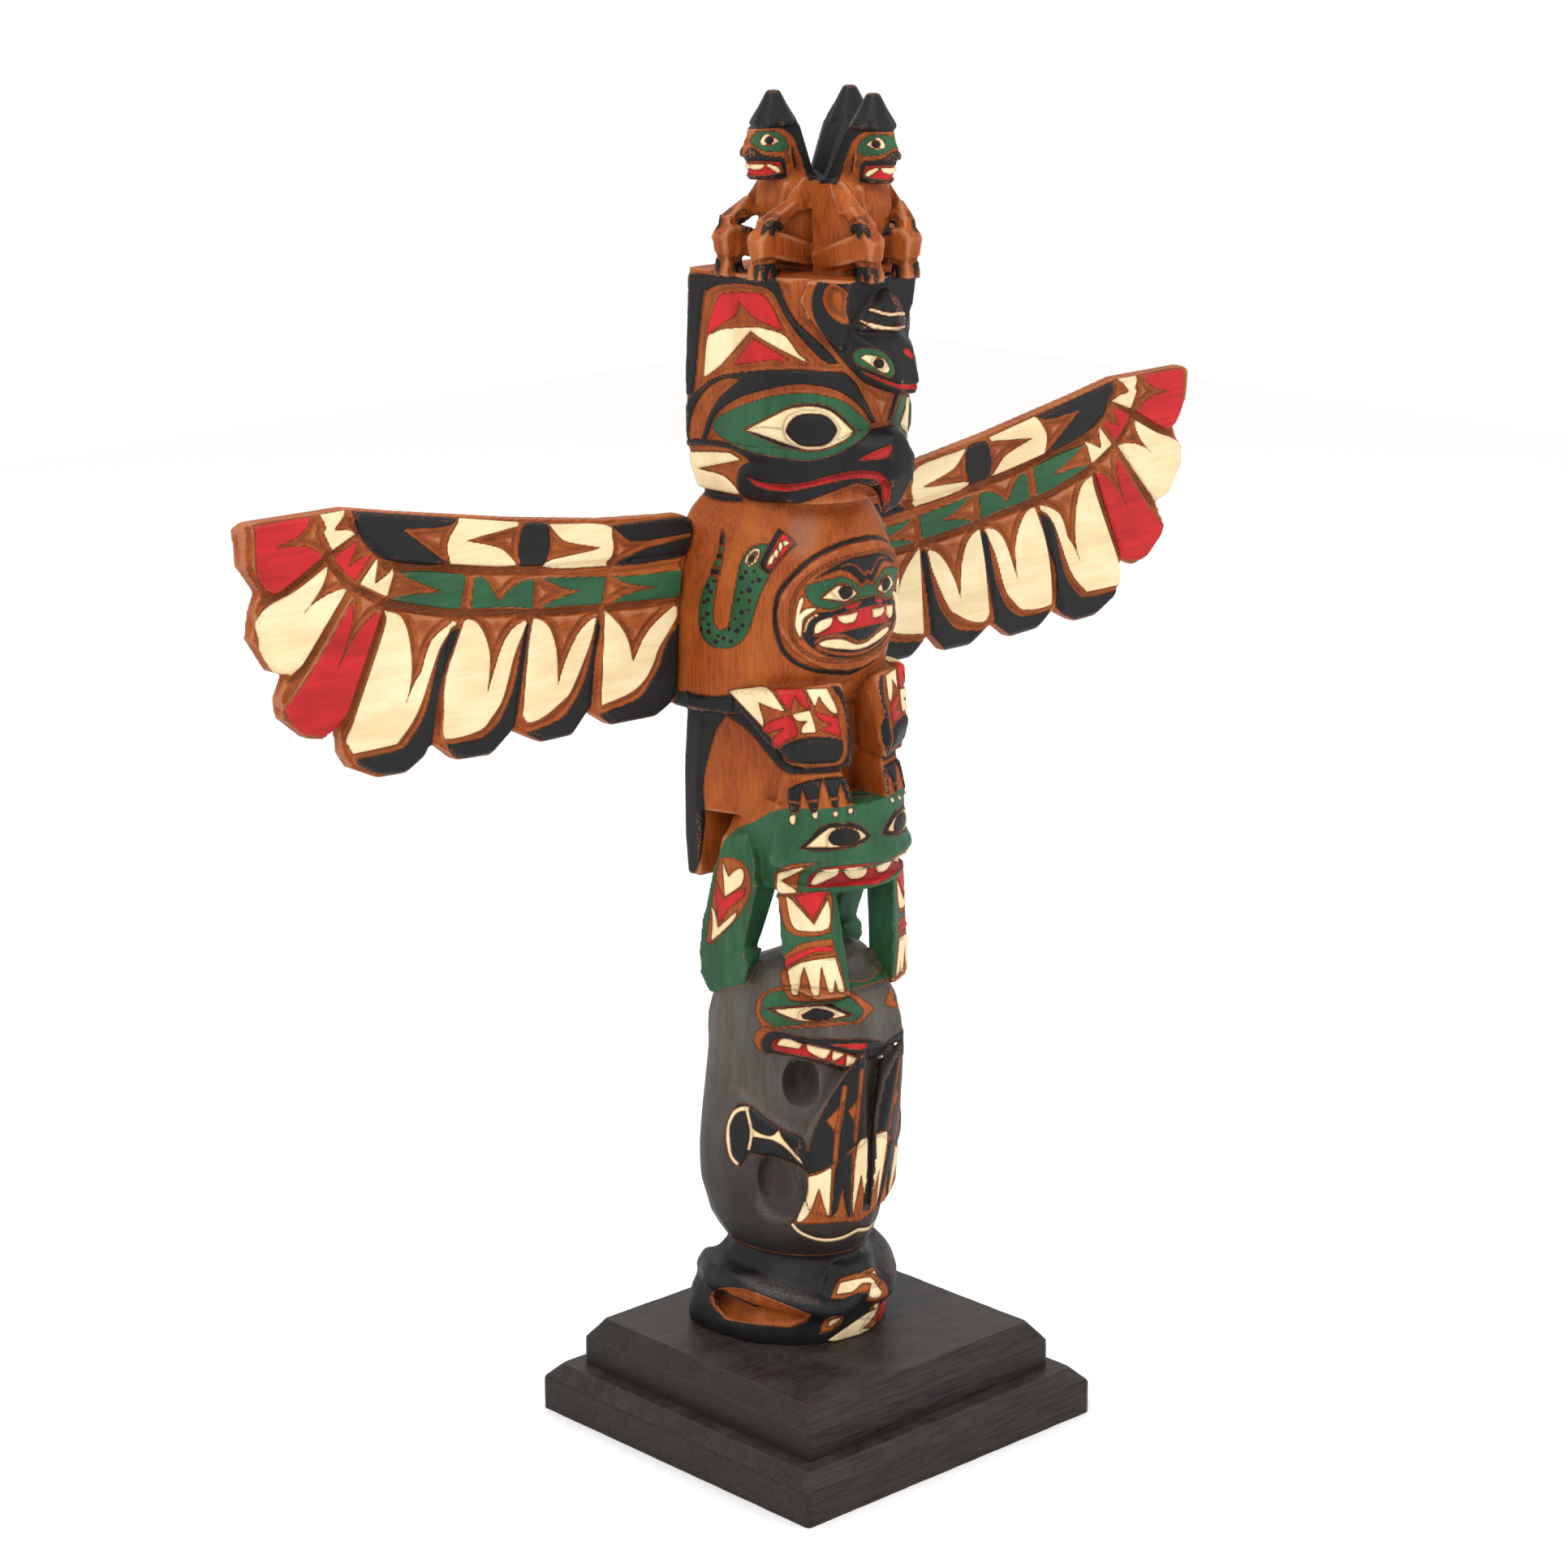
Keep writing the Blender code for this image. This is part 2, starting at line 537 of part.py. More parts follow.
GREEN_BAND = [(355, 722), (300, 713), (228, 702), (160, 696), (84, 692), (88, 661), (165, 666),
              (232, 672), (300, 684), (362, 702)]
WRIST = [(384, 752), (410, 738), (391, 716), (362, 698), (355, 721), (370, 738)]
OUTLINE_BEFORE_ROOT = [
    (390, 770), (472, 771), (480, 767), (478, 741), (464, 721), (470, 708), (473, 690), (458, 666),
    (444, 661), (452, 644), (450, 631), (430, 614), (416, 611), (402, 618), (400, 597), (393, 586),
    (370, 575), (346, 574), (330, 582), (321, 592), (300, 575), (270, 573), (249, 588), (222, 574),
    (194, 574), (178, 590), (155, 575), (112, 574), (98, 581)]
OUTLINE_AFTER_ROOT = [(73, 718), (84, 723.5), (105, 725), (160, 730), (240, 742), (300, 753), (345, 761)]


def wing(side):
    def place(marks):
        return [wing_point(u, z, side) for u, z in marks]

    y_board = WING_BACK - WING_BOARD_THICKNESS
    outline = place(OUTLINE_BEFORE_ROOT) + [(side * u * UNIT, wing_point(u, z, side)[1])
                                            for u, z in root_edge(588, 712)]
    outline += place(OUTLINE_AFTER_ROOT)
    board = slab(outline, y_board, WING_BACK)
    pads = []
    for marks in FEATHERS + [LEADING_EDGE, GREEN_BAND, WRIST]:
        marks = [(max(u, body_half_width(min(max(z, 578), 737)) + 1.5), z) for u, z in marks]
        pads.append(slab(place(marks), y_board - FEATHER_RELIEF, y_board + FEATHER_SINK,
                         FEATHER_BEVEL))
    return tidy(combine(board, pads, "UNION"))


def base_board(side, thickness, floor, chamfer_inset, chamfer_drop):
    """A square board whose upper edges are planed to a long chamfer."""
    def ring(half, z):
        points = []
        for quarter in range(4):
            for i in range(BOARD_CORNER_STEPS + 1):
                angle = math.pi / 2 * (quarter + i / BOARD_CORNER_STEPS)
                reach = half - BOARD_CORNER_RADIUS
                start = math.pi / 2 * quarter + math.pi / 4
                points.append(Vector((
                    math.copysign(reach, math.cos(start)) + BOARD_CORNER_RADIUS * math.cos(angle),
                    math.copysign(reach, math.sin(start)) + BOARD_CORNER_RADIUS * math.sin(angle),
                    z)))
        return points

    half = side / 2
    top = floor + thickness
    return loft([ring(half, floor), ring(half, top - chamfer_drop), ring(half - chamfer_inset, top)])


def build():
    clear_scene()
    stained = finish_material("black_stained_wood", BLACK_STAIN_COLOUR, 0.55)
    cedar = finish_material("carved_painted_cedar", PAINTED_CEDAR_COLOUR, 0.5)
    wing_cedar = finish_material("carved_cedar_board", CEDAR_COLOUR, 0.5)
    add_object("lower_base_board",
               base_board(LOWER_BOARD_SIDE, LOWER_BOARD_THICKNESS, 0.0, LOWER_CHAMFER_INSET,
                          LOWER_CHAMFER_DROP), stained)
    add_object("upper_base_board",
               base_board(UPPER_BOARD_SIDE, UPPER_BOARD_THICKNESS, LOWER_BOARD_THICKNESS + SEAT_GAP,
                          UPPER_CHAMFER_INSET, UPPER_CHAMFER_DROP), stained)
    add_object("carved_pole", carved_pole(), cedar)
    add_object("eagle_right_wing", wing(-1), wing_cedar)
    add_object("eagle_left_wing", wing(1), wing_cedar)


build()
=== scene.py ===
"""Looks of a winged cedar totem pole on a stepped base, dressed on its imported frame."""
import math

import bmesh
import bpy
import numpy as np
from mathutils import Matrix, Vector
from mathutils.bvhtree import BVHTree


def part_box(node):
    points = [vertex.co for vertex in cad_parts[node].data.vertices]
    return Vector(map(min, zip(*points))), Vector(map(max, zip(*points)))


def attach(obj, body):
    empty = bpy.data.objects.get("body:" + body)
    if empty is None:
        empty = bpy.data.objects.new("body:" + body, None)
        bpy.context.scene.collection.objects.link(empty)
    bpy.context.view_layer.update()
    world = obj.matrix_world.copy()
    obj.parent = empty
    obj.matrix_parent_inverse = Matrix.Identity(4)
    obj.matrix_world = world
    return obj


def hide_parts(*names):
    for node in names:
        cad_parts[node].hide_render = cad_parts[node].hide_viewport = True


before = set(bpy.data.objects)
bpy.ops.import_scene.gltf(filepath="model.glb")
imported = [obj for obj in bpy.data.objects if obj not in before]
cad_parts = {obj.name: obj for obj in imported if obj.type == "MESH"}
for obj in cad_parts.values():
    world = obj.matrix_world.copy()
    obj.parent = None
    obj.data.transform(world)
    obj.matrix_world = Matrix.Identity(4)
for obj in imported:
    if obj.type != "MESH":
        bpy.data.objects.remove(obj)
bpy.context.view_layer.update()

MM = 0.001

# The eye: a long lens a little to the object's right and above it, as the photograph was taken.
# It comes first because the carver's marks below are laid out as this eye sees them.
EYE = Vector((-2007.97, -2115.40, 1298.61)) * MM
EYE_AZIMUTH = math.radians(-43.068)
EYE_ELEVATION = math.radians(15.095)
EYE_ROLL = math.radians(-0.320)
LENS_MM = 91.61
SENSOR_MM = 36.0
PICTURE_PIXELS = 1932
FOCAL_PIXELS = LENS_MM / SENSOR_MM * PICTURE_PIXELS

ahead = -Vector((math.sin(EYE_AZIMUTH) * math.cos(EYE_ELEVATION),
                 -math.cos(EYE_AZIMUTH) * math.cos(EYE_ELEVATION), math.sin(EYE_ELEVATION)))
level_right = ahead.cross(Vector((0, 0, 1))).normalized()
level_up = level_right.cross(ahead)
eye_right = level_right * math.cos(EYE_ROLL) + level_up * math.sin(EYE_ROLL)
eye_up = level_up * math.cos(EYE_ROLL) - level_right * math.sin(EYE_ROLL)

camera_data = bpy.data.cameras.new("eye")
camera_data.sensor_width = SENSOR_MM
camera_data.lens = LENS_MM
camera_data.clip_end = 20.0
camera = bpy.data.objects.new("eye", camera_data)
camera.matrix_world = Matrix((eye_right, eye_up, -ahead)).transposed().to_4x4()
camera.location = EYE
bpy.context.scene.collection.objects.link(camera)
bpy.context.scene.camera = camera

# Base: two square boards, one on the other, sawn from cedar, their upper edges planed to a long
# slope, stained black and rubbed thin by hands and dusting. The upper one is glued on the lower.
BOARD_CELLS = 80
BOARD_CORNER_RADIUS = 3 * MM
BOARD_WEAR = 0.35 * MM
BOARD_WEAR_SIZE = 26 * MM
# Board: how far its sloped edge comes in, and how far it drops
BOARD_SLOPES = {"lower_base_board": (10.8 * MM, 11.1 * MM), "upper_base_board": (11.6 * MM, 15.5 * MM)}


def linear(hex_colour):
    """An sRGB hex colour as the linear RGBA that a shader takes."""
    parts = [int(hex_colour[i:i + 2], 16) / 255 for i in (1, 3, 5)]
    return [c / 12.92 if c <= 0.04045 else ((c + 0.055) / 1.055) ** 2.4 for c in parts] + [1.0]


def add(tree, kind, inputs=(), **settings):
    """Adds a node with its settings. Its inputs, in order or by name, are values, hex colours or
    sockets to link. Gives the socket of its first open output."""
    made = tree.nodes.new(kind)
    for name, value in settings.items():
        setattr(made, name, value)
    for place, value in (inputs.items() if isinstance(inputs, dict) else enumerate(inputs)):
        if isinstance(value, bpy.types.NodeSocket):
            tree.links.new(value, made.inputs[place])
        else:
            made.inputs[place].default_value = linear(value) if isinstance(value, str) else value
    return next((socket for socket in made.outputs if socket.enabled), None)


MATH, VECTOR, RANGE, MIX = ("ShaderNodeMath", "ShaderNodeVectorMath", "ShaderNodeMapRange", "ShaderNodeMix")
# Settings of a smooth step, and of a mix of two colours, inputs 6 and 7, by a share, input 0
STEP, COLOURS = {"interpolation_type": "SMOOTHSTEP"}, {"data_type": "RGBA", "clamp_factor": True}


def streaks(tree, coords, millimetres, stretch, detail=4.0, roughness=0.55):
    """Noise whose spots are so many millimetres wide, drawn out along the grain by stretch."""
    placed = add(tree, "ShaderNodeMapping", {"Vector": coords, "Scale": stretch})
    return add(tree, "ShaderNodeTexNoise", {"Vector": placed, "Scale": 1000 / millimetres,
                                            "Detail": detail, "Roughness": roughness})


# Black-stained cedar: a thin dull stain, brushed on, so the board's grain and the sanding marks
# show through; it is grey with dust on top and rubbed brown along the arrises.
STAIN_DARK, STAIN_PALE, STAIN_DUST, STAIN_RUBBED = "#120F0E", "#2C2622", "#4E4843", "#4A2E1E"
STAIN_SHINE = 0.22
BOARD_GRAIN_MM, SCUFF_MM, SPECK_MM, ARRIS_MM = 1.3, 34.0, 2.4, 1.5


def black_stained_cedar():
    """The stained wood of the boards, their grain along x."""
    material = bpy.data.materials.new("black_stained_cedar")
    material.use_nodes = True
    tree = material.node_tree
    shader = tree.nodes["Principled BSDF"]
    shader.inputs["Specular IOR Level"].default_value = STAIN_SHINE
    coords = add(tree, "ShaderNodeTexCoord").node.outputs["Object"]
    grain = streaks(tree, coords, BOARD_GRAIN_MM, (0.04, 1.0, 1.0), 5.0)
    cloud = streaks(tree, coords, SCUFF_MM, (1.0, 1.0, 1.0), 6.0, 0.62)
    fine = streaks(tree, coords, SPECK_MM, (1.0, 1.0, 1.0), 5.0, 0.7)
    arris = add(tree, "ShaderNodeAttribute", attribute_name="arris").node.outputs["Fac"]
    normal = add(tree, "ShaderNodeNewGeometry").node.outputs["Normal"]
    upright = add(tree, "ShaderNodeSeparateXYZ", (normal,)).node.outputs["Z"]
    shown = add(tree, RANGE, (grain, 0.36, 0.64), **STEP)
    colour = add(tree, MIX, {0: shown, 6: STAIN_DARK, 7: STAIN_PALE}, **COLOURS)
    settled = add(tree, RANGE, (upright, 0.35, 0.95), **STEP)
    patchy = add(tree, RANGE, (cloud, 0.25, 0.8), **STEP)
    dust = add(tree, MATH, (settled, patchy), operation="MULTIPLY")
    dust = add(tree, MATH, (dust, fine), operation="MULTIPLY")
    colour = add(tree, MIX, {0: dust, 6: colour, 7: STAIN_DUST}, **COLOURS)
    ragged = add(tree, MATH, (fine, 4.0, -2.0), operation="MULTIPLY_ADD")
    ragged = add(tree, MATH, (arris, ragged), operation="ADD")
    rubbed = add(tree, RANGE, (ragged, ARRIS_MM, 0.1, 0.0, 0.4), **STEP)
    colour = add(tree, MIX, {0: rubbed, 6: colour, 7: STAIN_RUBBED}, **COLOURS)
    tree.links.new(colour, shader.inputs["Base Color"])
    rough = add(tree, MATH, (cloud, 0.35, 0.34), operation="MULTIPLY_ADD")
    tree.links.new(rough, shader.inputs["Roughness"])
    height = add(tree, MATH, (grain, fine), operation="ADD")
    bump = add(tree, "ShaderNodeBump", {"Height": height, "Distance": 0.16 * MM, "Strength": 0.5})
    tree.links.new(bump, shader.inputs["Normal"])
    return material


def eased_corners(tree, here, half, thick, corner):
    """Places with what reaches past the core in x and y drawn back to the corner radius."""
    core = add(tree, MATH, (half, corner), operation="SUBTRACT")
    core = add(tree, "ShaderNodeCombineXYZ", (core, core, thick))
    across = add(tree, VECTOR, (here,), operation="ABSOLUTE")
    kept = add(tree, VECTOR, (across, core), operation="MINIMUM")
    over = add(tree, VECTOR, (across, kept), operation="SUBTRACT")
    reach = add(tree, VECTOR, (over,), operation="LENGTH")
    reach = add(tree, MATH, (reach, corner), operation="MAXIMUM")
    share = add(tree, MATH, (corner, reach), operation="DIVIDE")
    over = add(tree, VECTOR, {0: over, "Scale": share}, operation="SCALE")
    eased = add(tree, VECTOR, (kept, over), operation="ADD")
    way = add(tree, VECTOR, (here,), operation="SIGN")
    return add(tree, VECTOR, (eased, way), operation="MULTIPLY")


def narrowing(tree, here, half, thick, slope_in, slope_drop):
    """The share of its width that a place keeps, less and less above the foot of the slope."""
    height = add(tree, "ShaderNodeSeparateXYZ", (here,)).node.outputs["Z"]
    top = add(tree, MATH, (thick, 0.5), operation="MULTIPLY")
    foot = add(tree, MATH, (top, slope_drop), operation="SUBTRACT")
    narrow = add(tree, MATH, (slope_in, half), operation="DIVIDE")
    narrow = add(tree, MATH, (1.0, narrow), operation="SUBTRACT")
    share = add(tree, RANGE, (height, foot, top, 1.0, narrow))
    return add(tree, "ShaderNodeCombineXYZ", (share, share, 1.0))


def dents(tree, here, wear, wear_size):
    """Shallow dents as offsets, never outwards."""
    scale = add(tree, MATH, (1.0, wear_size), operation="DIVIDE")
    spots = add(tree, "ShaderNodeTexNoise", {"Vector": here, "Scale": scale, "Detail": 3.0})
    depth = add(tree, RANGE, (spots, 0.35, 0.55, -1.0, 0.0))
    depth = add(tree, MATH, (depth, wear), operation="MULTIPLY")
    normal = add(tree, "GeometryNodeInputNormal")
    return add(tree, VECTOR, {0: normal, "Scale": depth}, operation="SCALE")


def board_tree(material):
    """Geometry Nodes for one board: a block of small cells, its top drawn in, its corners eased."""
    tree = bpy.data.node_groups.new("planed_board", "GeometryNodeTree")
    for name in ("Side", "Thickness", "Floor", "Slope In", "Slope Drop", "Corner", "Wear", "Wear Size"):
        tree.interface.new_socket(name=name, in_out="INPUT", socket_type="NodeSocketFloat")
    tree.interface.new_socket(name="Cells", in_out="INPUT", socket_type="NodeSocketInt")
    tree.interface.new_socket(name="Geometry", in_out="OUTPUT", socket_type="NodeSocketGeometry")
    given = tree.nodes.new("NodeGroupInput").outputs
    side, thick, floor_level, slope_in, slope_drop, corner, wear, wear_size, cells = given[:9]
    size = add(tree, "ShaderNodeCombineXYZ", (side, side, thick))
    up_cells = add(tree, MATH, (cells, 5.0), operation="DIVIDE")
    block = add(tree, "GeometryNodeMeshCube", (size, cells, cells, up_cells))
    here = add(tree, "GeometryNodeInputPosition")
    half = add(tree, MATH, (side, 0.5), operation="MULTIPLY")

    eased = eased_corners(tree, here, half, thick, corner)
    kept = narrowing(tree, here, half, thick, slope_in, slope_drop)
    eased = add(tree, VECTOR, (eased, kept), operation="MULTIPLY")
    lift = add(tree, MATH, (thick, 0.5, floor_level), operation="MULTIPLY_ADD")
    lift = add(tree, "ShaderNodeCombineXYZ", (0.0, 0.0, lift))
    place = add(tree, VECTOR, (eased, lift), operation="ADD")
    shaped = add(tree, "GeometryNodeSetPosition", {"Geometry": block, "Position": place})
    offset = dents(tree, here, wear, wear_size)
    worn = add(tree, "GeometryNodeSetPosition", {"Geometry": shaped, "Offset": offset})
    real = add(tree, "GeometryNodeRealizeInstances", (worn,))
    stained = add(tree, "GeometryNodeSetMaterial", {"Geometry": real, "Material": material})
    tree.links.new(stained, tree.nodes.new("NodeGroupOutput").inputs["Geometry"])
    return tree


def frozen(item, name):
    """The evaluated shape of an object as a plain mesh object, in place of the first."""
    graph = bpy.context.evaluated_depsgraph_get()
    mesh = bpy.data.meshes.new_from_object(item.evaluated_get(graph), depsgraph=graph)
    bpy.data.objects.remove(item)
    made = bpy.data.objects.new(name, mesh)
    bpy.context.scene.collection.objects.link(made)
    return made


def mark_arrises(mesh, low, high, slope_in, slope_drop):
    """Keeps each point's distance in mm from the nearest edge of the board, where stain rubs off."""
    points = np.empty(len(mesh.vertices) * 3)
    mesh.vertices.foreach_get("co", points)
    points = points.reshape(-1, 3)
    across = np.abs(points[:, :2])
    out, height, half = across.max(axis=1), points[:, 2], high.x
    near = [np.hypot(out - edge_out, height - edge_height) for edge_out, edge_height in
            ((half, low.z), (half, high.z - slope_drop), (half - slope_in, high.z))]
    drawn_in = slope_in * np.clip((height - high.z + slope_drop) / slope_drop, 0, 1)
    near.append(np.hypot(half - drawn_in - across[:, 0], half - drawn_in - across[:, 1]))
    layer = mesh.attributes.new("arris", "FLOAT", "POINT")
    layer.data.foreach_set("value", np.min(near, axis=0) / MM)


stain = black_stained_cedar()
planed_board = board_tree(stain)
for board_name, (slope_in, slope_drop) in BOARD_SLOPES.items():
    low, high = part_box(board_name)
    blank = bpy.data.objects.new("board_blank", bpy.data.meshes.new("board_blank"))
    bpy.context.scene.collection.objects.link(blank)
    shaping = blank.modifiers.new("shaping", "NODES")
    shaping.node_group = planed_board
    sizes = {"Side": high.x - low.x, "Thickness": high.z - low.z, "Floor": low.z, "Slope In": slope_in,
             "Slope Drop": slope_drop, "Corner": BOARD_CORNER_RADIUS, "Wear": BOARD_WEAR,
             "Wear Size": BOARD_WEAR_SIZE, "Cells": BOARD_CELLS}
    for socket in planed_board.interface.items_tree:
        if socket.name in sizes:
            shaping[socket.identifier] = sizes[socket.name]
    board = frozen(blank, board_name.replace("_base", ""))
    mark_arrises(board.data, low, high, slope_in, slope_drop)
    board.data.shade_flat()
    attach(board, "root")
    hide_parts(board_name)

# Pole: one log of red cedar, carved from foot to hats with knives and gouges: a crouching figure, a
# whale, a beast, and an eagle with a mask on its breast and a snake at its side, with an animal
# between its ears and three watchmen in tall hats on its crown. Painted with thin dull paints.
POLE_CELL = 1.45 * MM
SETTLE_STEPS = 26
# Height marks are millimetres above the pole's foot plus 76, as the carver's grid in the part has them
GRID_FOOT = 76
POLE_FOOT_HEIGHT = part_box("carved_pole")[0].z / MM
CROUCHER_TOP, BEAST_FOOT, BREAST_TOP, CROWN = 146, 390.5, 733, 902
BELOW_ALL, ABOVE_ALL = 0, 2000
PAINTS = ("black", "cream", "red", "green", "slate")
# Distances from a paint's edge count up to this many mm
FAR_MM = 9.0
# How far round a mark its distances are kept, in pixels or on the wings in mm
MARK_MARGIN = 12.0
# How far dots lie over the paint round them, in mm
DOT_OVER = 0.5


def cut_small(name, cell):
    """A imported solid's points and four-sided cells after its doubles are merged and it is cut fine."""
    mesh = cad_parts[name].data.copy()
    shape = bmesh.new()
    shape.from_mesh(mesh)
    bmesh.ops.remove_doubles(shape, verts=shape.verts, dist=0.002 * MM)
    shape.to_mesh(mesh)
    shape.free()
    item = bpy.data.objects.new("blank", mesh)
    bpy.context.scene.collection.objects.link(item)
    modifier = item.modifiers.new("cells", "REMESH")
    modifier.mode = "VOXEL"
    modifier.voxel_size = cell
    item = frozen(item, "fine_blank")
    points = np.empty(len(item.data.vertices) * 3)
    item.data.vertices.foreach_get("co", points)
    cells = np.empty(len(item.data.polygons) * 4, np.int32)
    item.data.polygons.foreach_get("vertices", cells)
    bpy.data.objects.remove(item)
    return points.reshape(-1, 3), cells.reshape(-1, 4)


def outward(points, cells):
    """The direction that the surface faces at each point."""
    across = np.cross(points[cells[:, 2]] - points[cells[:, 0]], points[cells[:, 3]] - points[cells[:, 1]])
    sums = np.stack([np.bincount(cells.ravel(), np.repeat(across[:, axis], 4), len(points))
                     for axis in range(3)], axis=1)
    return sums / np.maximum(np.linalg.norm(sums, axis=1, keepdims=True), 1e-12)


def neighbours(cells):
    """Both ends of every edge, once each way."""
    edges = np.concatenate([np.stack([cells[:, i], cells[:, (i + 1) % 4]], axis=1) for i in range(4)])
    edges = np.unique(np.sort(edges, axis=1), axis=0)
    return np.concatenate([edges[:, 0], edges[:, 1]]), np.concatenate([edges[:, 1], edges[:, 0]])


def averaged(values, here, there, counts):
    """Each point's mean of its neighbours' values."""
    return np.stack([np.bincount(here, values[there, axis], len(values)) / counts
                     for axis in range(values.shape[1])], axis=1)


def settle(points, cells, steps, share, pushes=(0.5, -0.52)):
    """Eases the facets off a surface; share says how much, point by point. The two pushes together
    keep its bulk, the first alone rounds it off."""
    here, there = neighbours(cells)
    counts = np.maximum(np.bincount(here, minlength=len(points)), 1)
    for _ in range(steps):
        for push in pushes:
            points = points + push * share[:, None] * (averaged(points, here, there, counts) - points)
    return points


# Straight steps in each rounded stretch of an outline, and the turn that counts as a corner
ROUND_STEPS = 4
SHARP_TURN = math.cos(math.radians(62))


def rounded(points, closed):
    """An outline with its bends rounded and its sharp corners kept."""
    count = len(points)
    shape = []
    spans = range(count) if closed else range(count - 1)
    for i in spans:
        start, end = points[i], points[(i + 1) % count]
        before = points[i - 1] if closed or i else start
        after = points[(i + 2) % count] if closed or i + 2 < count else end
        lead, trail = (end - before) / 2, (after - start) / 2
        if is_sharp(before, start, end):
            lead = end - start
        if is_sharp(start, end, after):
            trail = end - start
        for step in range(ROUND_STEPS):
            t = step / ROUND_STEPS
            shape.append((2 * t**3 - 3 * t**2 + 1) * start + (t**3 - 2 * t**2 + t) * lead
                         + (3 * t**2 - 2 * t**3) * end + (t**3 - t**2) * trail)
    return np.array(shape if closed else shape + [points[-1]])


def is_sharp(before, here, after):
    """Whether an outline turns so far at a point that the knife stopped there."""
    first, second = here - before, after - here
    lengths = np.linalg.norm(first) * np.linalg.norm(second)
    return lengths > 0 and first @ second / lengths < SHARP_TURN


def from_outline(places, outline, closed):
    """How far each place is from an outline; less than nothing inside a closed one."""
    starts, ends = outline, np.roll(outline, -1, axis=0)
    if not closed:
        starts, ends = outline[:-1], outline[1:]
    nearest = np.full(len(places), 1e9)
    inside = np.zeros(len(places), bool)
    for start, end in zip(starts, ends):
        run, reach = end - start, places - start
        along = np.clip(reach @ run / max(run @ run, 1e-9), 0, 1)
        nearest = np.minimum(nearest, ((reach - along[:, None] * run) ** 2).sum(axis=1))
        if closed and start[1] != end[1]:
            crosses = (start[1] > places[:, 1]) != (end[1] > places[:, 1])
            inside ^= crosses & (places[:, 0] < start[0] + (places[:, 1] - start[1]) * run[0] / run[1])
    return np.where(inside, -1, 1) * np.sqrt(nearest)


def in_picture(points):
    """Where the eye sees points, in pixels of its 1932-pixel picture, and the pixels in a millimetre."""
    reach = points - np.array(EYE)
    depth = reach @ np.array(ahead)
    column = PICTURE_PIXELS / 2 + FOCAL_PIXELS * (reach @ np.array(eye_right)) / depth
    row = PICTURE_PIXELS / 2 - FOCAL_PIXELS * (reach @ np.array(eye_up)) / depth
    return np.stack([column, row], axis=1), FOCAL_PIXELS / depth * MM


def new_paint(count):
    """Each paint's distance in mm from its nearest edge, less than nothing under it, at every point."""
    paint = {name: np.full(count, FAR_MM) for name in PAINTS}
    paint["cut"] = np.full(count, FAR_MM)
    # Distance from the dust marks, which are dust with a painted highlight
    paint["dust"] = np.full(count, FAR_MM)
    return paint


def lay(paint, colour, where, distance, over=0.0):
    """A mark of one colour, which covers what is under it, less the mm that it lies over other paint.
    Bare wood is the colour of none."""
    for name in PAINTS:
        if name == colour:
            paint[name][where] = np.minimum(paint[name][where], distance)
        else:
            paint[name][where] = np.maximum(paint[name][where], -distance - over)


def work(marks, paint, lifts, places, scale, where):
    """Paints and carves a group of marks on the points at the given places.

    A mark is its colour, how far it stands out in mm (sunk if less than nothing), how wide its bevel
    is, and its outline. In the place of the second, a line has "line" and then its width in mm, and
    "dots" says that the outline holds (place, place, radius) of round spots. A "form" has no paint,
    a "cut" is a bare knife cut, and "dust" is dust with a painted highlight lying on the paint."""
    for colour, lift, width, outline in marks:
        shape = np.array(outline, float)
        low, high = shape.min(axis=0)[:2] - MARK_MARGIN, shape.max(axis=0)[:2] + MARK_MARGIN
        near = where[((places[where] > low) & (places[where] < high)).all(axis=1)]
        if not len(near):
            continue
        closed = lift != "line"
        if lift == "dots":
            distance = np.min([np.hypot(*(places[near] - dot[:2]).T) - dot[2] for dot in shape], axis=0)
            lay(paint, colour, near, distance / scale[near] - DOT_OVER, DOT_OVER)
            continue
        distance = from_outline(places[near], rounded(shape, closed), closed) / scale[near]
        if not closed:
            distance -= width / 2
        if colour == "dust":
            paint["dust"][near] = np.minimum(paint["dust"][near], distance)
        elif colour != "form":
            paint["cut"][near] = np.minimum(paint["cut"][near], np.abs(distance))
            if colour != "cut":
                lay(paint, colour, near, distance)
        if closed:
            slope = np.clip(-distance / width, 0, 1)
            lifts[near] += lift * MM * (3 * slope**2 - 2 * slope**3)


# How far in mm a cut goes down from a painted edge, and how far from the edge it turns up again
NOTCH_REACH, NOTCH_TURN = 3.2, 4.16


def notch(paint, lifts, where, slope):
    """Cuts bare wood down from every painted edge, to its deepest a few mm away, and up again."""
    bare = np.min([paint[name][where] for name in PAINTS], axis=0)
    down, up = np.clip(bare, 0, NOTCH_REACH), np.clip(bare - NOTCH_TURN, 0, NOTCH_REACH)
    lifts[where] -= slope * MM * (down - up)


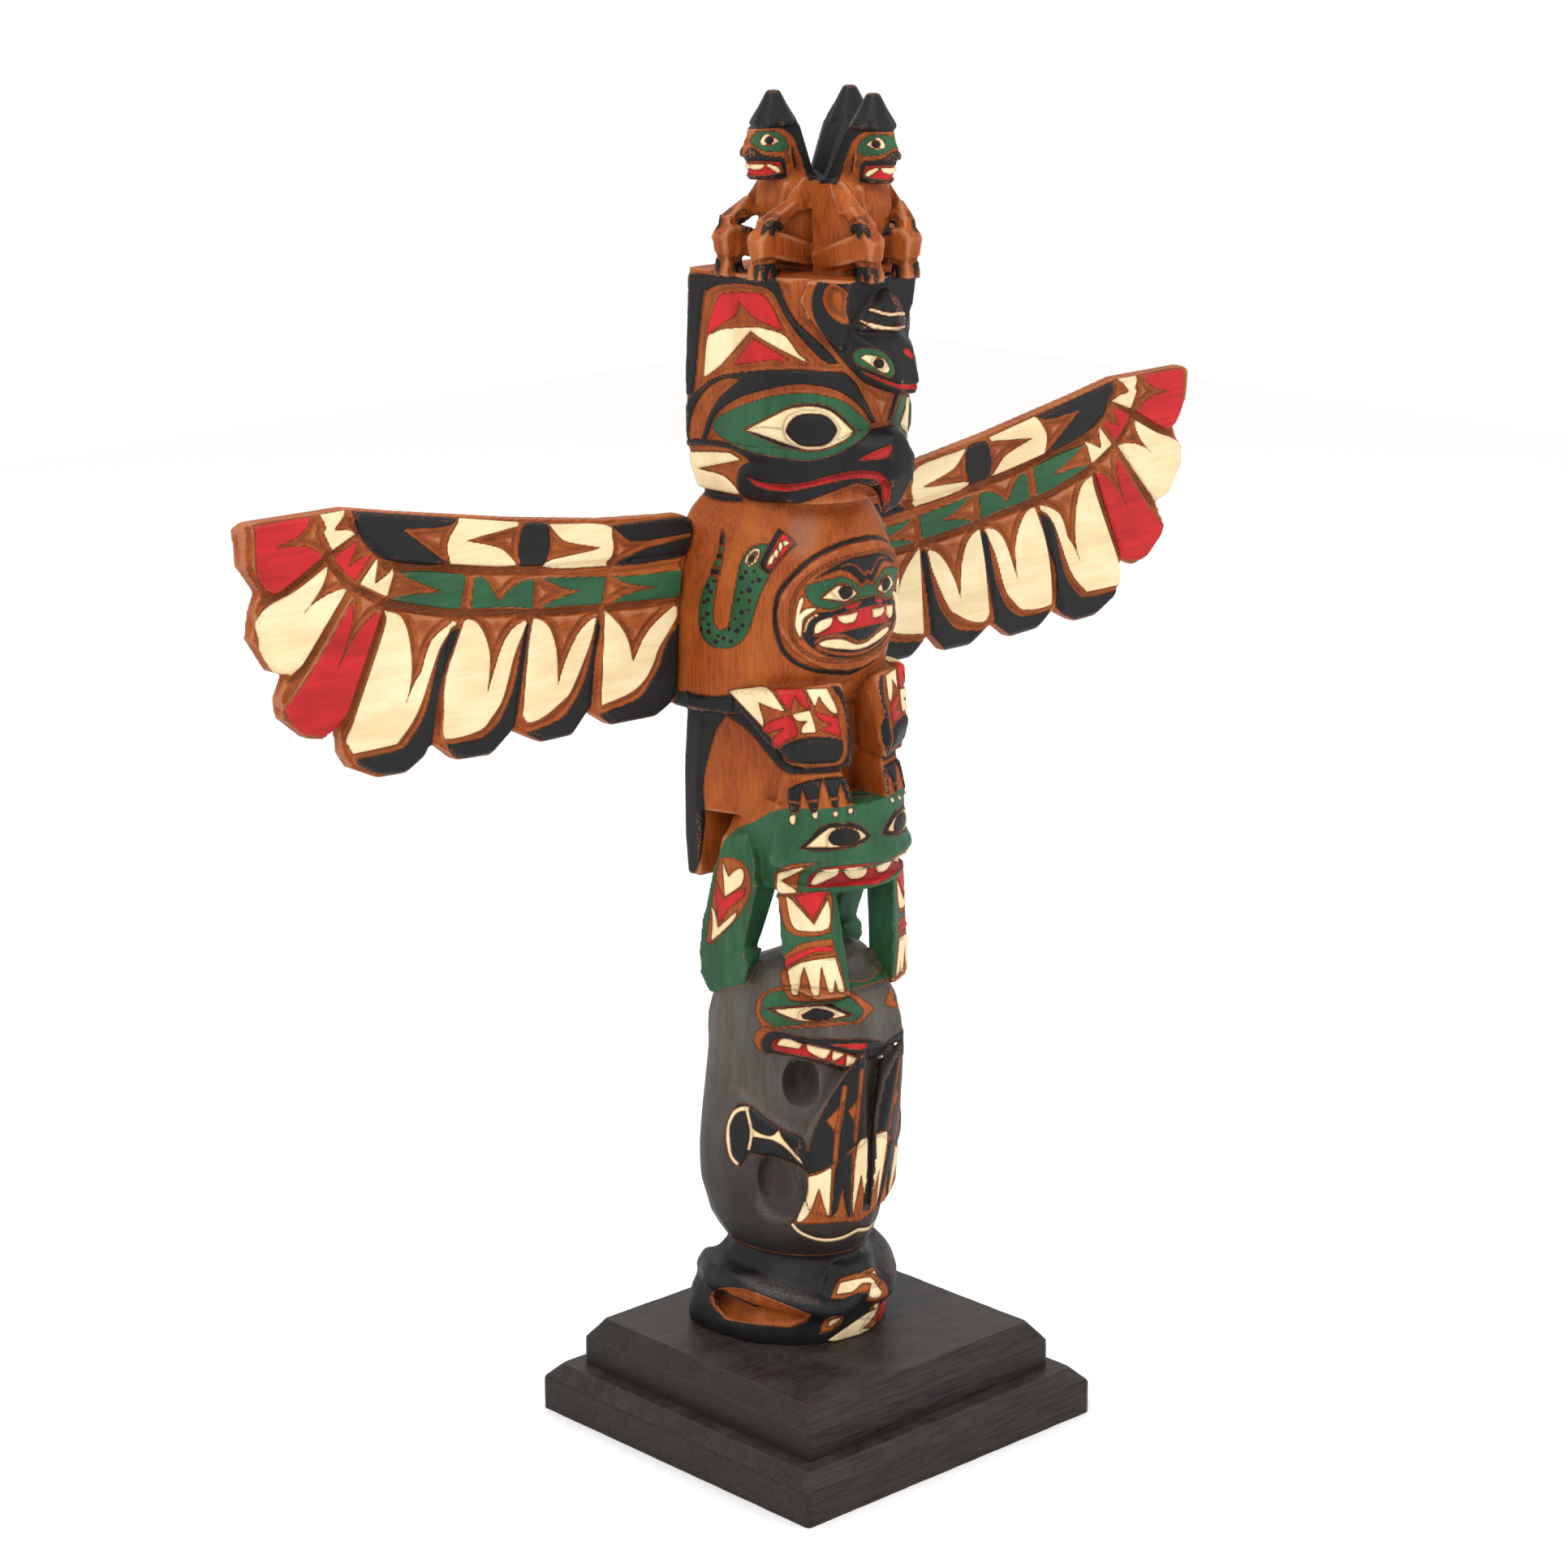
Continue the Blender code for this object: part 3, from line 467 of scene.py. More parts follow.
# Marks are outlined in pixels of the 1932-pixel photograph, on its left half where it shows both
EAGLE_HEAD_MARKS = [
    ("black", 1.2, 1.5, [(836, 336), (958, 342), (966, 367), (973, 382), (983, 397), (1017, 429),
        (1034, 448), (1018, 447), (992, 423), (969, 393), (955, 365), (946, 357), (932, 352),
        (915, 349.5), (895, 350), (880, 353), (871, 359), (867, 366), (856, 478), (850, 486), (836, 490)]),
    ("red", 1, 1.4, [(893, 361), (930, 360), (940, 364), (948, 372), (967, 409), (936, 396), (925, 389),
        (911, 372), (909, 382), (905, 390), (879, 407), (871, 417), (872, 403), (880, 377), (885, 367)]),
    ("cream", 1, 1.4, [(871, 418), (880, 410), (893, 405), (930, 403), (947, 406), (968, 414),
        (985, 437), (998, 446), (985, 443), (940, 419), (925, 408), (896, 442), (884, 454), (867, 466)]),
    ("red", 0.2, 1.4, [(927, 417), (973, 444), (963, 446), (950, 444), (903, 450)]),
    ("black", 1.4, 1.6, [(846, 496), (852, 488), (872, 470), (885, 464), (900, 460), (960, 455),
        (1030, 458), (1042, 460), (1052, 469), (1060, 481), (1080, 521), (1072, 520), (1064, 507),
        (1055, 497), (1045, 489), (1030, 481), (1010, 476), (990, 474), (970, 475), (930, 484),
        (912, 490), (898, 498), (886, 508), (879, 519), (871, 542), (864, 542), (872, 515), (879, 501),
        (888, 488), (912, 467), (898, 466), (885, 470), (873, 478), (863, 490), (856, 503), (851, 520),
        (849, 541), (836, 541)]),
    ("black", 1, 1.6, [(836, 541), (870, 541), (950, 552), (1020, 545), (1060, 530), (1115, 525),
        (1150, 540), (1150, 645), (1095, 640), (1087, 631), (1085, 618), (1081, 609), (1074, 601),
        (1062, 597), (1050, 597), (997, 617), (975, 620), (935, 618), (920, 614), (911, 606), (908, 596),
        (909, 583), (914, 574), (924, 569), (916, 562), (905, 556), (890, 551), (870, 549), (836, 550)]),
    ("green", 0, 1.5, [(879, 521), (884, 514), (912, 500), (950, 488), (990, 484), (1010, 486),
        (1030, 491), (1045, 498), (1066, 516), (1073, 527), (1068, 536), (1058, 545), (1045, 552),
        (1030, 559), (1010, 565), (990, 567), (945, 561), (920, 554), (900, 546), (886, 537), (879, 529)]),
    ("black", 1.6, 7, [(915, 530), (970, 502), (985, 498), (1000, 497), (1015, 499), (1030, 506),
        (1055, 531), (1038, 545), (1025, 551), (1010, 555), (995, 556), (975, 553), (955, 547)]),
    ("cream", 0.8, 3, [(917, 531), (960, 509), (975, 503), (990, 501), (1003, 501), (1017, 504),
        (1030, 511), (1051, 531), (1046, 538), (1034, 545), (1020, 551), (1003, 554), (985, 552),
        (930, 533)]),
    ("cut", "line", 0.3, [(966, 528), (969, 517), (977, 509), (990, 505), (1005, 505), (1018, 509),
        (1028, 517), (1034, 528), (1030, 539), (1022, 547), (1008, 552), (990, 552), (977, 547),
        (969, 539), (966, 528)]),
    ("cut", "line", 0.3, [(928, 528), (945, 526), (966, 528)]),
    ("black", 1, 6, [(970, 529), (976, 517), (985, 511), (1000, 509), (1015, 511), (1025, 518),
        (1031, 528), (1028, 537), (1021, 545), (1010, 549), (990, 549), (979, 543), (972, 535)]),
    ("cream", 1, 1.6, [(836, 556), (892, 557), (905, 561), (913, 567), (861, 577), (887, 584),
        (897, 590), (905, 598), (912, 609), (900, 608), (855, 598), (836, 585)]),
    # Painted shade: a black strip under the cheek, where the head's lower edge is in shade
    ("black", 0, 1, [(868, 602), (915, 613), (915, 618), (900, 618), (880, 615), (868, 610)]),
    ("red", -1.6, 1.4, [(1058, 566), (1080, 555), (1099, 548), (1098, 558), (1092, 564), (1068, 567)]),
    ("red", -2.6, 1.8, [(921, 587), (942, 594), (975, 596), (995, 593), (1035, 583), (1055, 580),
        (1070, 580), (1083, 582), (1092, 589), (1097, 600), (1096, 612), (1093, 622), (1089, 615),
        (1088, 604), (1084, 595), (1076, 590), (1045, 590), (985, 603), (965, 605), (945, 602),
        (932, 597)])]
CREST_ANIMAL_MARKS = [
    ("form", 3.5, 8, [(1050, 404), (1062, 388), (1078, 366), (1090, 354), (1103, 362), (1116, 400),
        (1110, 410), (1080, 414), (1060, 412)]),
    ("black", 0, 1, [(1022, 336), (1010, 345), (1003, 357), (1000, 371), (1002, 388), (1009, 404),
        (1029, 433), (1058, 466), (1075, 476), (1100, 485), (1145, 495), (1165, 330)]),
    ("wood", -2.2, 5, [(1014, 367), (1016, 358), (1020, 352), (1028, 350), (1044, 359), (1042, 382),
        (1047, 399), (1040, 399), (1030, 395), (1022, 388), (1016, 378)]),
    ("cream", 0.6, 1, [(1069, 383), (1073, 380), (1092, 386), (1104, 386), (1110, 384), (1112, 388),
        (1097, 391)]),
    ("cream", 0.6, 1, [(1058, 396), (1061, 394), (1070, 398), (1095, 403), (1105, 402), (1116, 395),
        (1116, 400), (1106, 406), (1078, 405)]),
    ("green", 0.3, 1.5, [(1050, 437), (1056, 431), (1065, 429), (1078, 430), (1088, 434), (1096, 441),
        (1101, 450), (1102, 460), (1098, 466), (1063, 452), (1054, 447)]),
    ("cream", 0.8, 2, [(1060, 441), (1068, 437), (1087, 441), (1093, 447), (1097, 455), (1094, 459),
        (1086, 458)]),
    ("cut", "line", 0.3, [(1076, 440), (1075, 447), (1078, 453), (1085, 456), (1091, 453), (1092, 447),
        (1088, 442)]),
    ("black", 0.4, 2, [(1077, 447), (1079, 443), (1083, 442), (1088, 444), (1090, 449), (1087, 453),
        (1082, 453), (1078, 451)]),
    ("red", -1.2, 1.2, [(1060, 456), (1105, 473), (1135, 473), (1135, 479), (1118, 480), (1105, 478),
        (1075, 466)]),
    ("red", -0.5, 1.2, [(1113, 432), (1116, 428), (1121, 431), (1126, 439), (1123, 442), (1116, 437)])]
SNAKE_MARKS = [
    ("green", 1.6, 3.5, [(875, 709), (884, 712), (879, 750), (879, 765), (882, 773), (888, 776),
        (896, 773), (899, 765), (908, 710), (912, 695), (918, 682), (926, 674), (938, 670), (948, 671),
        (945, 680), (938, 690), (940, 700), (948, 709), (935, 737), (925, 770), (918, 785), (907, 795),
        (893, 799), (878, 797), (868, 788), (862, 775), (861, 755), (864, 735), (868, 722)]),
    ("black", 0.8, 1.2, [(890, 653), (893, 662), (892, 672), (886, 672), (887, 664)]),
    ("green", 0.8, 1.2, [(886, 674), (892, 673), (892, 680), (885, 680)]),
    ("black", 0.8, 1.2, [(884, 682), (891, 681), (890, 689), (882, 688)]),
    ("green", 0.8, 1.2, [(881, 691), (890, 690), (888, 699), (878, 697)]),
    ("black", 0.8, 1.2, [(877, 700), (888, 701), (886, 709), (875, 707)]),
    ("black", "dots", 0, [(915, 712, 3), (920, 705, 2.5), (930, 704, 2), (928, 717, 2.3),
        (936, 715, 3.2), (924, 727, 3.2), (915, 730, 2.1), (911, 739, 2.4), (924, 740, 2.7),
        (915, 754, 3), (923, 751, 1.7), (907, 762, 1.9), (916, 770, 2.3), (909, 777, 3.1),
        (899, 775, 2.3), (893, 786, 2.7), (902, 790, 2.5), (886, 783, 2.1), (883, 790, 3.1),
        (875, 778, 3.1), (865, 775, 2.7), (875, 769, 2.1), (868, 762, 2.5), (873, 756, 2.7),
        (869, 742, 2.3), (874, 739, 2.5), (877, 729, 2.5), (873, 722, 2.7), (881, 716, 2.4)]),
    ("cream", 0.4, 1.5, [(919, 692), (922, 684), (929, 677), (937, 676), (936, 685), (931, 694),
        (924, 699)]),
    ("green", 0.2, 1.5, [(922, 692), (925, 685), (930, 680), (934, 679), (933, 685), (929, 692),
        (924, 696)]),
    ("black", 0, 1.5, [(924, 690), (927, 685), (931, 683), (931, 687), (928, 692), (925, 694)]),
    ("black", 0.8, 1.5, [(938, 700), (938, 690), (957, 655), (961, 652), (974, 662), (982, 671),
        (972, 679), (948, 708)]),
    ("red", -0.4, 1, [(945, 700), (946, 690), (961, 662), (967, 658), (978, 669), (949, 702)]),
    ("cream", 0.5, 1, [(946, 698), (947, 690), (952, 683), (955, 685), (952, 694)]),
    ("cream", 0.5, 1, [(953, 683), (957, 675), (960, 681), (957, 689)]),
    ("cream", 0.5, 1, [(959, 674), (962, 666), (965, 673), (961, 681)]),
    ("cream", 0.5, 1, [(964, 666), (971, 667), (973, 670), (967, 674)])]
BREAST_MASK_MARKS = [
    ("black", "line", 3.2, [(1100, 662), (1062, 664), (1040, 669), (1020, 677), (1002, 687), (986, 700),
        (962, 727), (957, 740), (955, 757), (956, 775), (960, 790), (966, 803), (977, 814), (992, 822),
        (1010, 827), (1045, 829), (1060, 824), (1078, 814), (1095, 800)]),
    ("wood", "line", 2, [(1090, 680), (1062, 683), (1040, 688), (1018, 697), (1000, 708), (985, 724),
        (977, 740), (974, 760), (975, 780), (983, 796), (998, 808), (1018, 814), (1040, 815),
        (1058, 811), (1078, 800)]),
    ("black", 1.6, 2, [(1004, 714), (1022, 701), (1048, 688), (1085, 683), (1110, 690), (1110, 700),
        (1085, 701), (1075, 706), (1062, 720), (1049, 707), (1040, 703), (1030, 703)]),
    ("wood", "line", 1.6, [(1036, 697), (1046, 695), (1054, 698), (1064, 708), (1076, 694), (1086, 690)]),
    ("green", 0.6, 2, [(992, 726), (998, 720), (1033, 711), (1043, 712), (1051, 716), (1062, 725),
        (1080, 706), (1090, 701), (1105, 700), (1105, 735), (1060, 737), (1027, 751), (1015, 750),
        (1003, 746), (995, 738)]),
    ("black", 1, 3, [(1010, 738), (1016, 731), (1031, 720), (1039, 719), (1047, 721), (1058, 731),
        (1046, 740), (1038, 742)]),
    ("cream", 0.4, 2, [(1012, 737), (1028, 724), (1036, 721), (1044, 722), (1056, 731), (1044, 739),
        (1036, 740)]),
    ("cut", "line", 0.3, [(1022, 728), (1027, 733), (1032, 738)]),
    ("black", 0.4, 2, [(1032, 729), (1035, 724), (1040, 722), (1046, 724), (1049, 729), (1047, 734),
        (1042, 737), (1036, 736)]),
    ("cream", 0.8, 1.5, [(989, 734), (983, 743), (979, 768), (982, 780), (987, 789), (989, 768),
        (992, 761), (1008, 750), (1000, 749), (991, 751), (985, 757), (990, 741)]),
    ("black", 1.8, 2.5, [(989, 777), (992, 766), (997, 759), (1004, 755), (1030, 752), (1055, 739),
        (1064, 737), (1080, 736), (1100, 738), (1110, 760), (1108, 785), (1090, 798), (1075, 806),
        (1055, 810), (1035, 811), (1018, 808), (1003, 800), (993, 791), (989, 784)]),
    ("cream", "line", 1.6, [(991, 778), (994, 768), (999, 761), (1007, 757)]),
    ("red", -2.6, 1.6, [(1001, 783), (1003, 772), (1008, 765), (1030, 757), (1085, 742), (1098, 742),
        (1098, 760), (1068, 770), (1015, 782)]),
    ("cream", 2.2, 1.6, [(1003, 781), (1003, 773), (1007, 766), (1015, 762), (1026, 760), (1026, 766),
        (1022, 773), (1008, 781)]),
    ("cream", 2.2, 1.6, [(1030, 760), (1058, 754), (1054, 765), (1048, 768), (1041, 769), (1035, 766)]),
    ("red", -1, 1.2, [(1040, 748), (1060, 740), (1056, 746), (1048, 750)]),
    ("wood", "line", 2.4, [(1004, 791), (1012, 785), (1025, 783), (1040, 783), (1058, 790), (1078, 774)]),
    ("wood", "line", 3, [(1006, 797), (1015, 801), (1030, 804), (1045, 805), (1060, 803), (1074, 796),
        (1084, 786)]),
    ("cream", -0.4, 1.6, [(1007, 792), (1015, 788), (1027, 786), (1040, 787), (1058, 792), (1082, 773),
        (1090, 769), (1086, 780), (1079, 790), (1068, 796), (1055, 799), (1040, 799), (1013, 796)]),
    # Dust with a painted highlight, pale grey specks on the paint
    ("dust", 0, 1, [(975, 640), (990, 628), (1005, 632), (1012, 650), (1005, 672), (992, 690),
        (978, 688), (970, 665)])]
EAGLE_THIGH_MARKS = [
    ("black", 0.6, 1.5, [(845, 850), (860, 857), (880, 858), (897, 856), (903, 858), (942, 900),
        (960, 925), (965, 935), (974, 942), (985, 945), (1005, 945), (1030, 943), (1040, 938),
        (1044, 925), (1044, 900), (1041, 880), (1036, 862), (1024, 846), (1033, 846), (1041, 858),
        (1046, 875), (1052, 925), (1048, 943), (1036, 951), (980, 954), (966, 950), (948, 932),
        (924, 902), (900, 885), (880, 876), (845, 880)]),
    ("cream", 0.8, 1.2, [(897, 851), (920, 848), (946, 848), (968, 877), (955, 874), (935, 866),
        (941, 888), (940, 896)]),
    ("red", 0.8, 1.2, [(939, 899), (944, 892), (953, 887), (972, 882), (977, 888), (983, 901),
        (980, 908), (970, 912), (958, 921), (953, 920), (952, 911), (966, 897), (946, 903)]),
    ("red", 0.8, 1.2, [(953, 849), (988, 848), (999, 873), (990, 872), (979, 858), (974, 876),
        (967, 870)]),
    ("cream", 0.8, 1.2, [(992, 849), (1019, 848), (1030, 870), (1032, 880), (1025, 878), (1015, 868),
        (1009, 858), (1004, 872)]),
    ("cream", 0.8, 1.2, [(976, 880), (997, 875), (1001, 883), (1006, 903), (987, 904), (988, 896),
        (994, 889), (985, 889), (979, 886)]),
    ("red", 0.8, 1.2, [(1003, 876), (1022, 882), (1032, 883), (1036, 908), (1009, 900), (1024, 893),
        (1014, 889), (1006, 882)]),
    ("black", 1.2, 3.5, [(958, 925), (968, 917), (980, 912), (995, 909), (1015, 908), (1030, 910),
        (1038, 912), (1039, 920), (1037, 932), (1030, 939), (1010, 941), (985, 941), (970, 936)])]
EAGLE_FOOT_MARKS = [
    ("black", 1.6, 2, [(971, 978), (975, 970), (1000, 961), (1040, 957), (1047, 966), (1050, 976),
        (1050, 988), (1045, 991), (1036, 965), (1033, 976), (1033, 996), (1026, 995), (1014, 960),
        (1011, 970), (1007, 1001), (1000, 1001), (988, 972), (984, 1001), (973, 1001)]),
    ("wood", "line", 1.6, [(972, 988), (984, 989)]),
    ("wood", "line", 1.6, [(994, 988), (1008, 986)]),
    ("wood", "line", 1.6, [(1023, 985), (1033, 983)]),
    ("cream", 1.6, 1.4, [(973, 1005), (981, 1003), (980, 1014), (976, 1017), (973, 1012)]),
    ("cream", 1.6, 1.4, [(1000, 1002), (1008, 1000), (1007, 1009), (1002, 1008)]),
    ("cream", 1.6, 1.4, [(1026, 1001), (1033, 999), (1032, 1006), (1027, 1007)]),
    ("cream", 1.6, 1.4, [(1044, 997), (1051, 995), (1051, 1002), (1046, 1003)])]
EAGLE_TAIL_MARKS = [
    ("black", 0.6, 1.5, [(830, 850), (880, 858), (905, 858), (903, 880), (895, 882), (881, 905),
        (867, 962), (869, 1005), (867, 1030), (861, 1066), (845, 1085), (830, 1085)])]
BEAST_FACE_MARKS = [
    ("black", 1.4, 4, [(984, 1045), (992, 1039), (1008, 1022), (1018, 1016), (1030, 1014), (1040, 1015),
        (1046, 1013), (1055, 1015), (1064, 1020), (1074, 1030), (1060, 1040), (1035, 1047), (1000, 1048)]),
    ("cream", 0.5, 2, [(992, 1044), (1018, 1022), (1030, 1019), (1045, 1019), (1057, 1022), (1067, 1030),
        (1048, 1041), (1035, 1044)]),
    ("cut", "line", 0.3, [(1019, 1040), (1018, 1032), (1022, 1025), (1030, 1020), (1042, 1018),
        (1054, 1021), (1061, 1028), (1062, 1034)]),
    ("black", 0.5, 3, [(1020, 1034), (1022, 1027), (1028, 1022), (1038, 1020), (1048, 1021),
        (1056, 1025), (1059, 1031), (1054, 1037), (1046, 1041), (1036, 1042), (1026, 1040)]),
    ("wood", 0, 1.2, [(954, 1080), (958, 1073), (970, 1067), (985, 1064), (1010, 1063), (996, 1068),
        (987, 1076), (984, 1085), (983, 1098), (985, 1104), (970, 1106), (955, 1100)]),
    ("cream", 0.9, 1.2, [(957, 1085), (958, 1078), (963, 1074), (993, 1067), (985, 1074), (963, 1085),
        (980, 1096), (983, 1103), (972, 1103), (960, 1100), (957, 1093)]),
    ("red", -1.4, 1.4, [(994, 1094), (995, 1086), (999, 1079), (1007, 1073), (1020, 1069), (1120, 1060),
        (1124, 1070), (1120, 1088)]),
    ("cream", 1.8, 1.5, [(997, 1089), (1006, 1077), (1015, 1073), (1034, 1071), (1034, 1076),
        (1029, 1081), (1008, 1089)]),
    ("cream", 1.8, 1.5, [(1038, 1073), (1050, 1070), (1070, 1069), (1069, 1076), (1064, 1081),
        (1055, 1083), (1046, 1082)]),
    ("cream", 1.8, 1.5, [(1074, 1069), (1088, 1068), (1085, 1076), (1080, 1082), (1077, 1077)]),
    ("cream", 1.8, 1.5, [(1092, 1067), (1104, 1066), (1108, 1073), (1103, 1079), (1097, 1079)]),
    ("wood", "line", 1.6, [(1116, 1003), (1111, 1010), (1106, 1020), (1110, 1023)])]
WHALE_FACE_MARKS = [
    ("form", -5, 34, [(880, 1318), (900, 1294), (940, 1280), (985, 1288), (1014, 1308), (1026, 1345),
        (1016, 1388), (990, 1414), (955, 1402), (915, 1376), (888, 1350)]),
    ("form", -5, 32, [(888, 1468), (900, 1436), (935, 1414), (982, 1418), (1012, 1442), (1008, 1488),
        (990, 1520), (955, 1534), (916, 1520), (896, 1494)]),
    ("wood", 0, 1.2, [(978, 1214), (960, 1216), (948, 1220), (938, 1226), (932, 1236), (931, 1248),
        (935, 1258), (952, 1268), (1050, 1262), (1064, 1256), (1077, 1243), (1070, 1236), (1044, 1220),
        (1030, 1220), (985, 1213)]),
    ("green", 0.6, 1.6, [(978, 1219), (955, 1221), (945, 1225), (939, 1233), (937, 1245), (940, 1255),
        (948, 1261), (958, 1265), (1030, 1259), (1050, 1259), (1060, 1254), (1064, 1247), (1060, 1240),
        (1041, 1225), (1003, 1217), (985, 1217)]),
    ("black", 0.8, 3, [(941, 1242), (1018, 1237), (1030, 1240), (1053, 1251), (1025, 1257), (985, 1259)]),
    ("cream", 0.4, 2, [(952, 1244), (1005, 1240), (1020, 1241), (1045, 1251), (1018, 1256), (985, 1257)]),
    ("cut", "line", 0.3, [(984, 1254), (985, 1247), (992, 1243), (1005, 1241), (1020, 1242),
        (1031, 1247), (1032, 1252)]),
    ("black", 0.3, 2, [(988, 1250), (1003, 1243), (1015, 1244), (1026, 1247), (1029, 1250), (1024, 1254),
        (1012, 1256), (998, 1256), (990, 1254)]),
    ("wood", 0, 1.4, [(932, 1290), (929, 1282), (931, 1273), (938, 1267), (948, 1264), (958, 1268),
        (948, 1272), (940, 1278), (937, 1288), (940, 1298), (935, 1296)]),
    ("black", 0.6, 1.8, [(938, 1290), (940, 1280), (948, 1272), (960, 1271), (1000, 1279), (1075, 1281),
        (1090, 1287), (1110, 1292), (1110, 1305), (1060, 1318), (1045, 1320), (1010, 1310), (955, 1299),
        (942, 1299)]),
    ("red", -2.2, 1.4, [(951, 1290), (953, 1283), (960, 1279), (975, 1280), (988, 1286), (1000, 1286),
        (1060, 1302), (1054, 1312), (1035, 1312), (1020, 1307), (970, 1298), (955, 1294)]),
    ("cream", 2, 1.4, [(955, 1289), (960, 1282), (967, 1279), (975, 1280), (990, 1286), (984, 1294)]),
    ("cream", 2, 1.4, [(993, 1287), (1024, 1294), (1020, 1302), (1014, 1305), (996, 1297)]),
    ("cream", 2, 1.4, [(1026, 1295), (1041, 1299), (1036, 1304), (1028, 1308), (1024, 1305)]),
    ("cream", 2, 1.4, [(1043, 1300), (1052, 1302), (1058, 1304), (1050, 1314), (1042, 1313)]),
    ("red", -0.8, 1.2, [(1022, 1287), (1068, 1285), (1066, 1291), (1055, 1293)])]
WHALE_TAIL_MARKS = [
    ("black", 1.6, 3, [(896, 1385), (901, 1370), (909, 1361), (918, 1359), (930, 1366), (958, 1388),
        (985, 1400), (993, 1412), (998, 1430), (997, 1447), (975, 1433), (928, 1422), (920, 1428),
        (913, 1438), (905, 1436), (897, 1422), (893, 1403)]),
    ("cream", "line", 3.4, [(921, 1366), (915, 1366), (907, 1370), (901, 1379), (898, 1391), (900, 1418),
        (904, 1428), (909, 1433)]),
    ("cream", "line", 2.4, [(921, 1366), (927, 1393), (924, 1415)]),
    ("cream", 0.4, 1.2, [(926, 1386), (930, 1391), (940, 1397), (950, 1399), (956, 1396), (960, 1391),
        (966, 1403), (985, 1425), (991, 1437), (972, 1417), (960, 1408), (948, 1403), (927, 1400)]),
    # Dust with a painted highlight along the whale's cheek ridge
    ("dust", 0, 1, [(900, 1338), (915, 1342), (935, 1362), (958, 1378), (985, 1392), (1000, 1402),
        (985, 1401), (960, 1390), (935, 1372), (912, 1356)]),
    # Dust with a painted highlight, pale grey specks on the paint
    ("dust", 0, 1, [(932, 1470), (942, 1488), (960, 1500), (975, 1500), (970, 1508), (950, 1508),
        (935, 1500), (928, 1485)])]
WHALE_FIN_MARKS = [
    ("black", 0, 1.2, [(1068, 1292), (1060, 1299), (1035, 1334), (1022, 1354), (1010, 1378),
        (1000, 1400), (995, 1425), (993, 1449), (1025, 1436), (1072, 1398), (1074, 1330)]),
    ("wood", 0, 1.2, [(977, 1509), (990, 1486), (995, 1470), (994, 1449), (1025, 1436), (1072, 1396),
        (1075, 1504)]),
    ("wood", "line", 3.6, [(1041, 1340), (1036, 1375), (1032, 1395), (1029, 1430)]),
    ("wood", "line", 2.8, [(1062, 1318), (1060, 1345), (1057, 1375), (1054, 1405)]),
    ("wood", -0.8, 1.6, [(1018, 1381), (1040, 1358), (1034, 1392), (1030, 1397)]),
    ("wood", -0.8, 1.6, [(1045, 1369), (1055, 1358), (1061, 1348), (1058, 1390), (1055, 1395),
        (1053, 1383)]),
    ("cream", 0.8, 1.4, [(995, 1451), (1010, 1446), (1025, 1438), (1022, 1499), (1018, 1495),
        (1009, 1465), (1000, 1490), (994, 1500), (988, 1506), (980, 1507), (992, 1478), (995, 1465)]),
    ("black", 0.8, 1.4, [(1031, 1433), (1050, 1420), (1048, 1480), (1049, 1499), (1045, 1499),
        (1041, 1485), (1038, 1462), (1032, 1490), (1026, 1498), (1024, 1498)]),
    ("cream", 0.8, 1.4, [(1056, 1413), (1072, 1400), (1072, 1502), (1068, 1495), (1061, 1448),
        (1051, 1498), (1050, 1485)]),
    ("cream", "line", 2.6, [(976, 1510), (985, 1518), (1000, 1525), (1015, 1528), (1030, 1527),
        (1045, 1522), (1075, 1505)])]
BEAST_FORE_LEG_MARKS = [
    ("wood", 0, 1.2, [(958, 1106), (966, 1101), (1021, 1098), (1026, 1110), (1024, 1148), (1010, 1153),
        (990, 1154), (975, 1150), (966, 1140)]),
    ("red", 0.5, 1.2, [(978, 1104), (1005, 1099), (1020, 1099), (1002, 1134)]),
    ("cream", 0.8, 1.2, [(968, 1104), (976, 1109), (1003, 1139), (1020, 1107), (1023, 1120),
        (1023, 1138), (1019, 1145), (1005, 1148), (988, 1147), (979, 1144), (973, 1132)]),
    ("wood", 0, 1, [(966, 1178), (980, 1167), (995, 1161), (1026, 1157), (1032, 1182), (1005, 1182),
        (985, 1187), (970, 1197)]),
    ("red", 0.9, 1.4, [(966, 1184), (980, 1175), (995, 1169), (1010, 1166), (1026, 1166), (1027, 1172),
        (1010, 1173), (995, 1177), (968, 1193)]),
    ("wood", 0, 1, [(968, 1192), (1000, 1178), (1032, 1176), (1044, 1224), (1034, 1232), (990, 1234),
        (972, 1230), (962, 1205)]),
    ("cream", 1.4, 2, [(970, 1196), (980, 1189), (995, 1184), (1029, 1179), (1039, 1212), (1040, 1223),
        (1033, 1221), (1029, 1208), (1027, 1223), (1021, 1223), (1012, 1192), (1009, 1227), (1002, 1227),
        (991, 1192), (987, 1205), (984, 1226), (976, 1226)])]
BEAST_HIND_LEG_MARKS = [
    ("wood", 0, 1.2, [(884, 1068), (890, 1058), (902, 1057), (915, 1063), (923, 1075), (925, 1090),
        (923, 1105), (915, 1120), (905, 1135), (877, 1164), (870, 1160)]),
    ("cream", 0.8, 1.2, [(890, 1061), (898, 1080), (905, 1073), (913, 1069), (917, 1075), (916, 1086),
        (910, 1094), (893, 1105)]),
    ("red", 0.8, 1.2, [(881, 1083), (892, 1108), (900, 1102), (918, 1094), (916, 1105), (898, 1120),
        (890, 1133), (885, 1137)]),
    ("cream", 0.8, 1.2, [(876, 1116), (881, 1123), (885, 1143), (909, 1121), (906, 1131), (897, 1142),
        (876, 1161), (878, 1135)])]
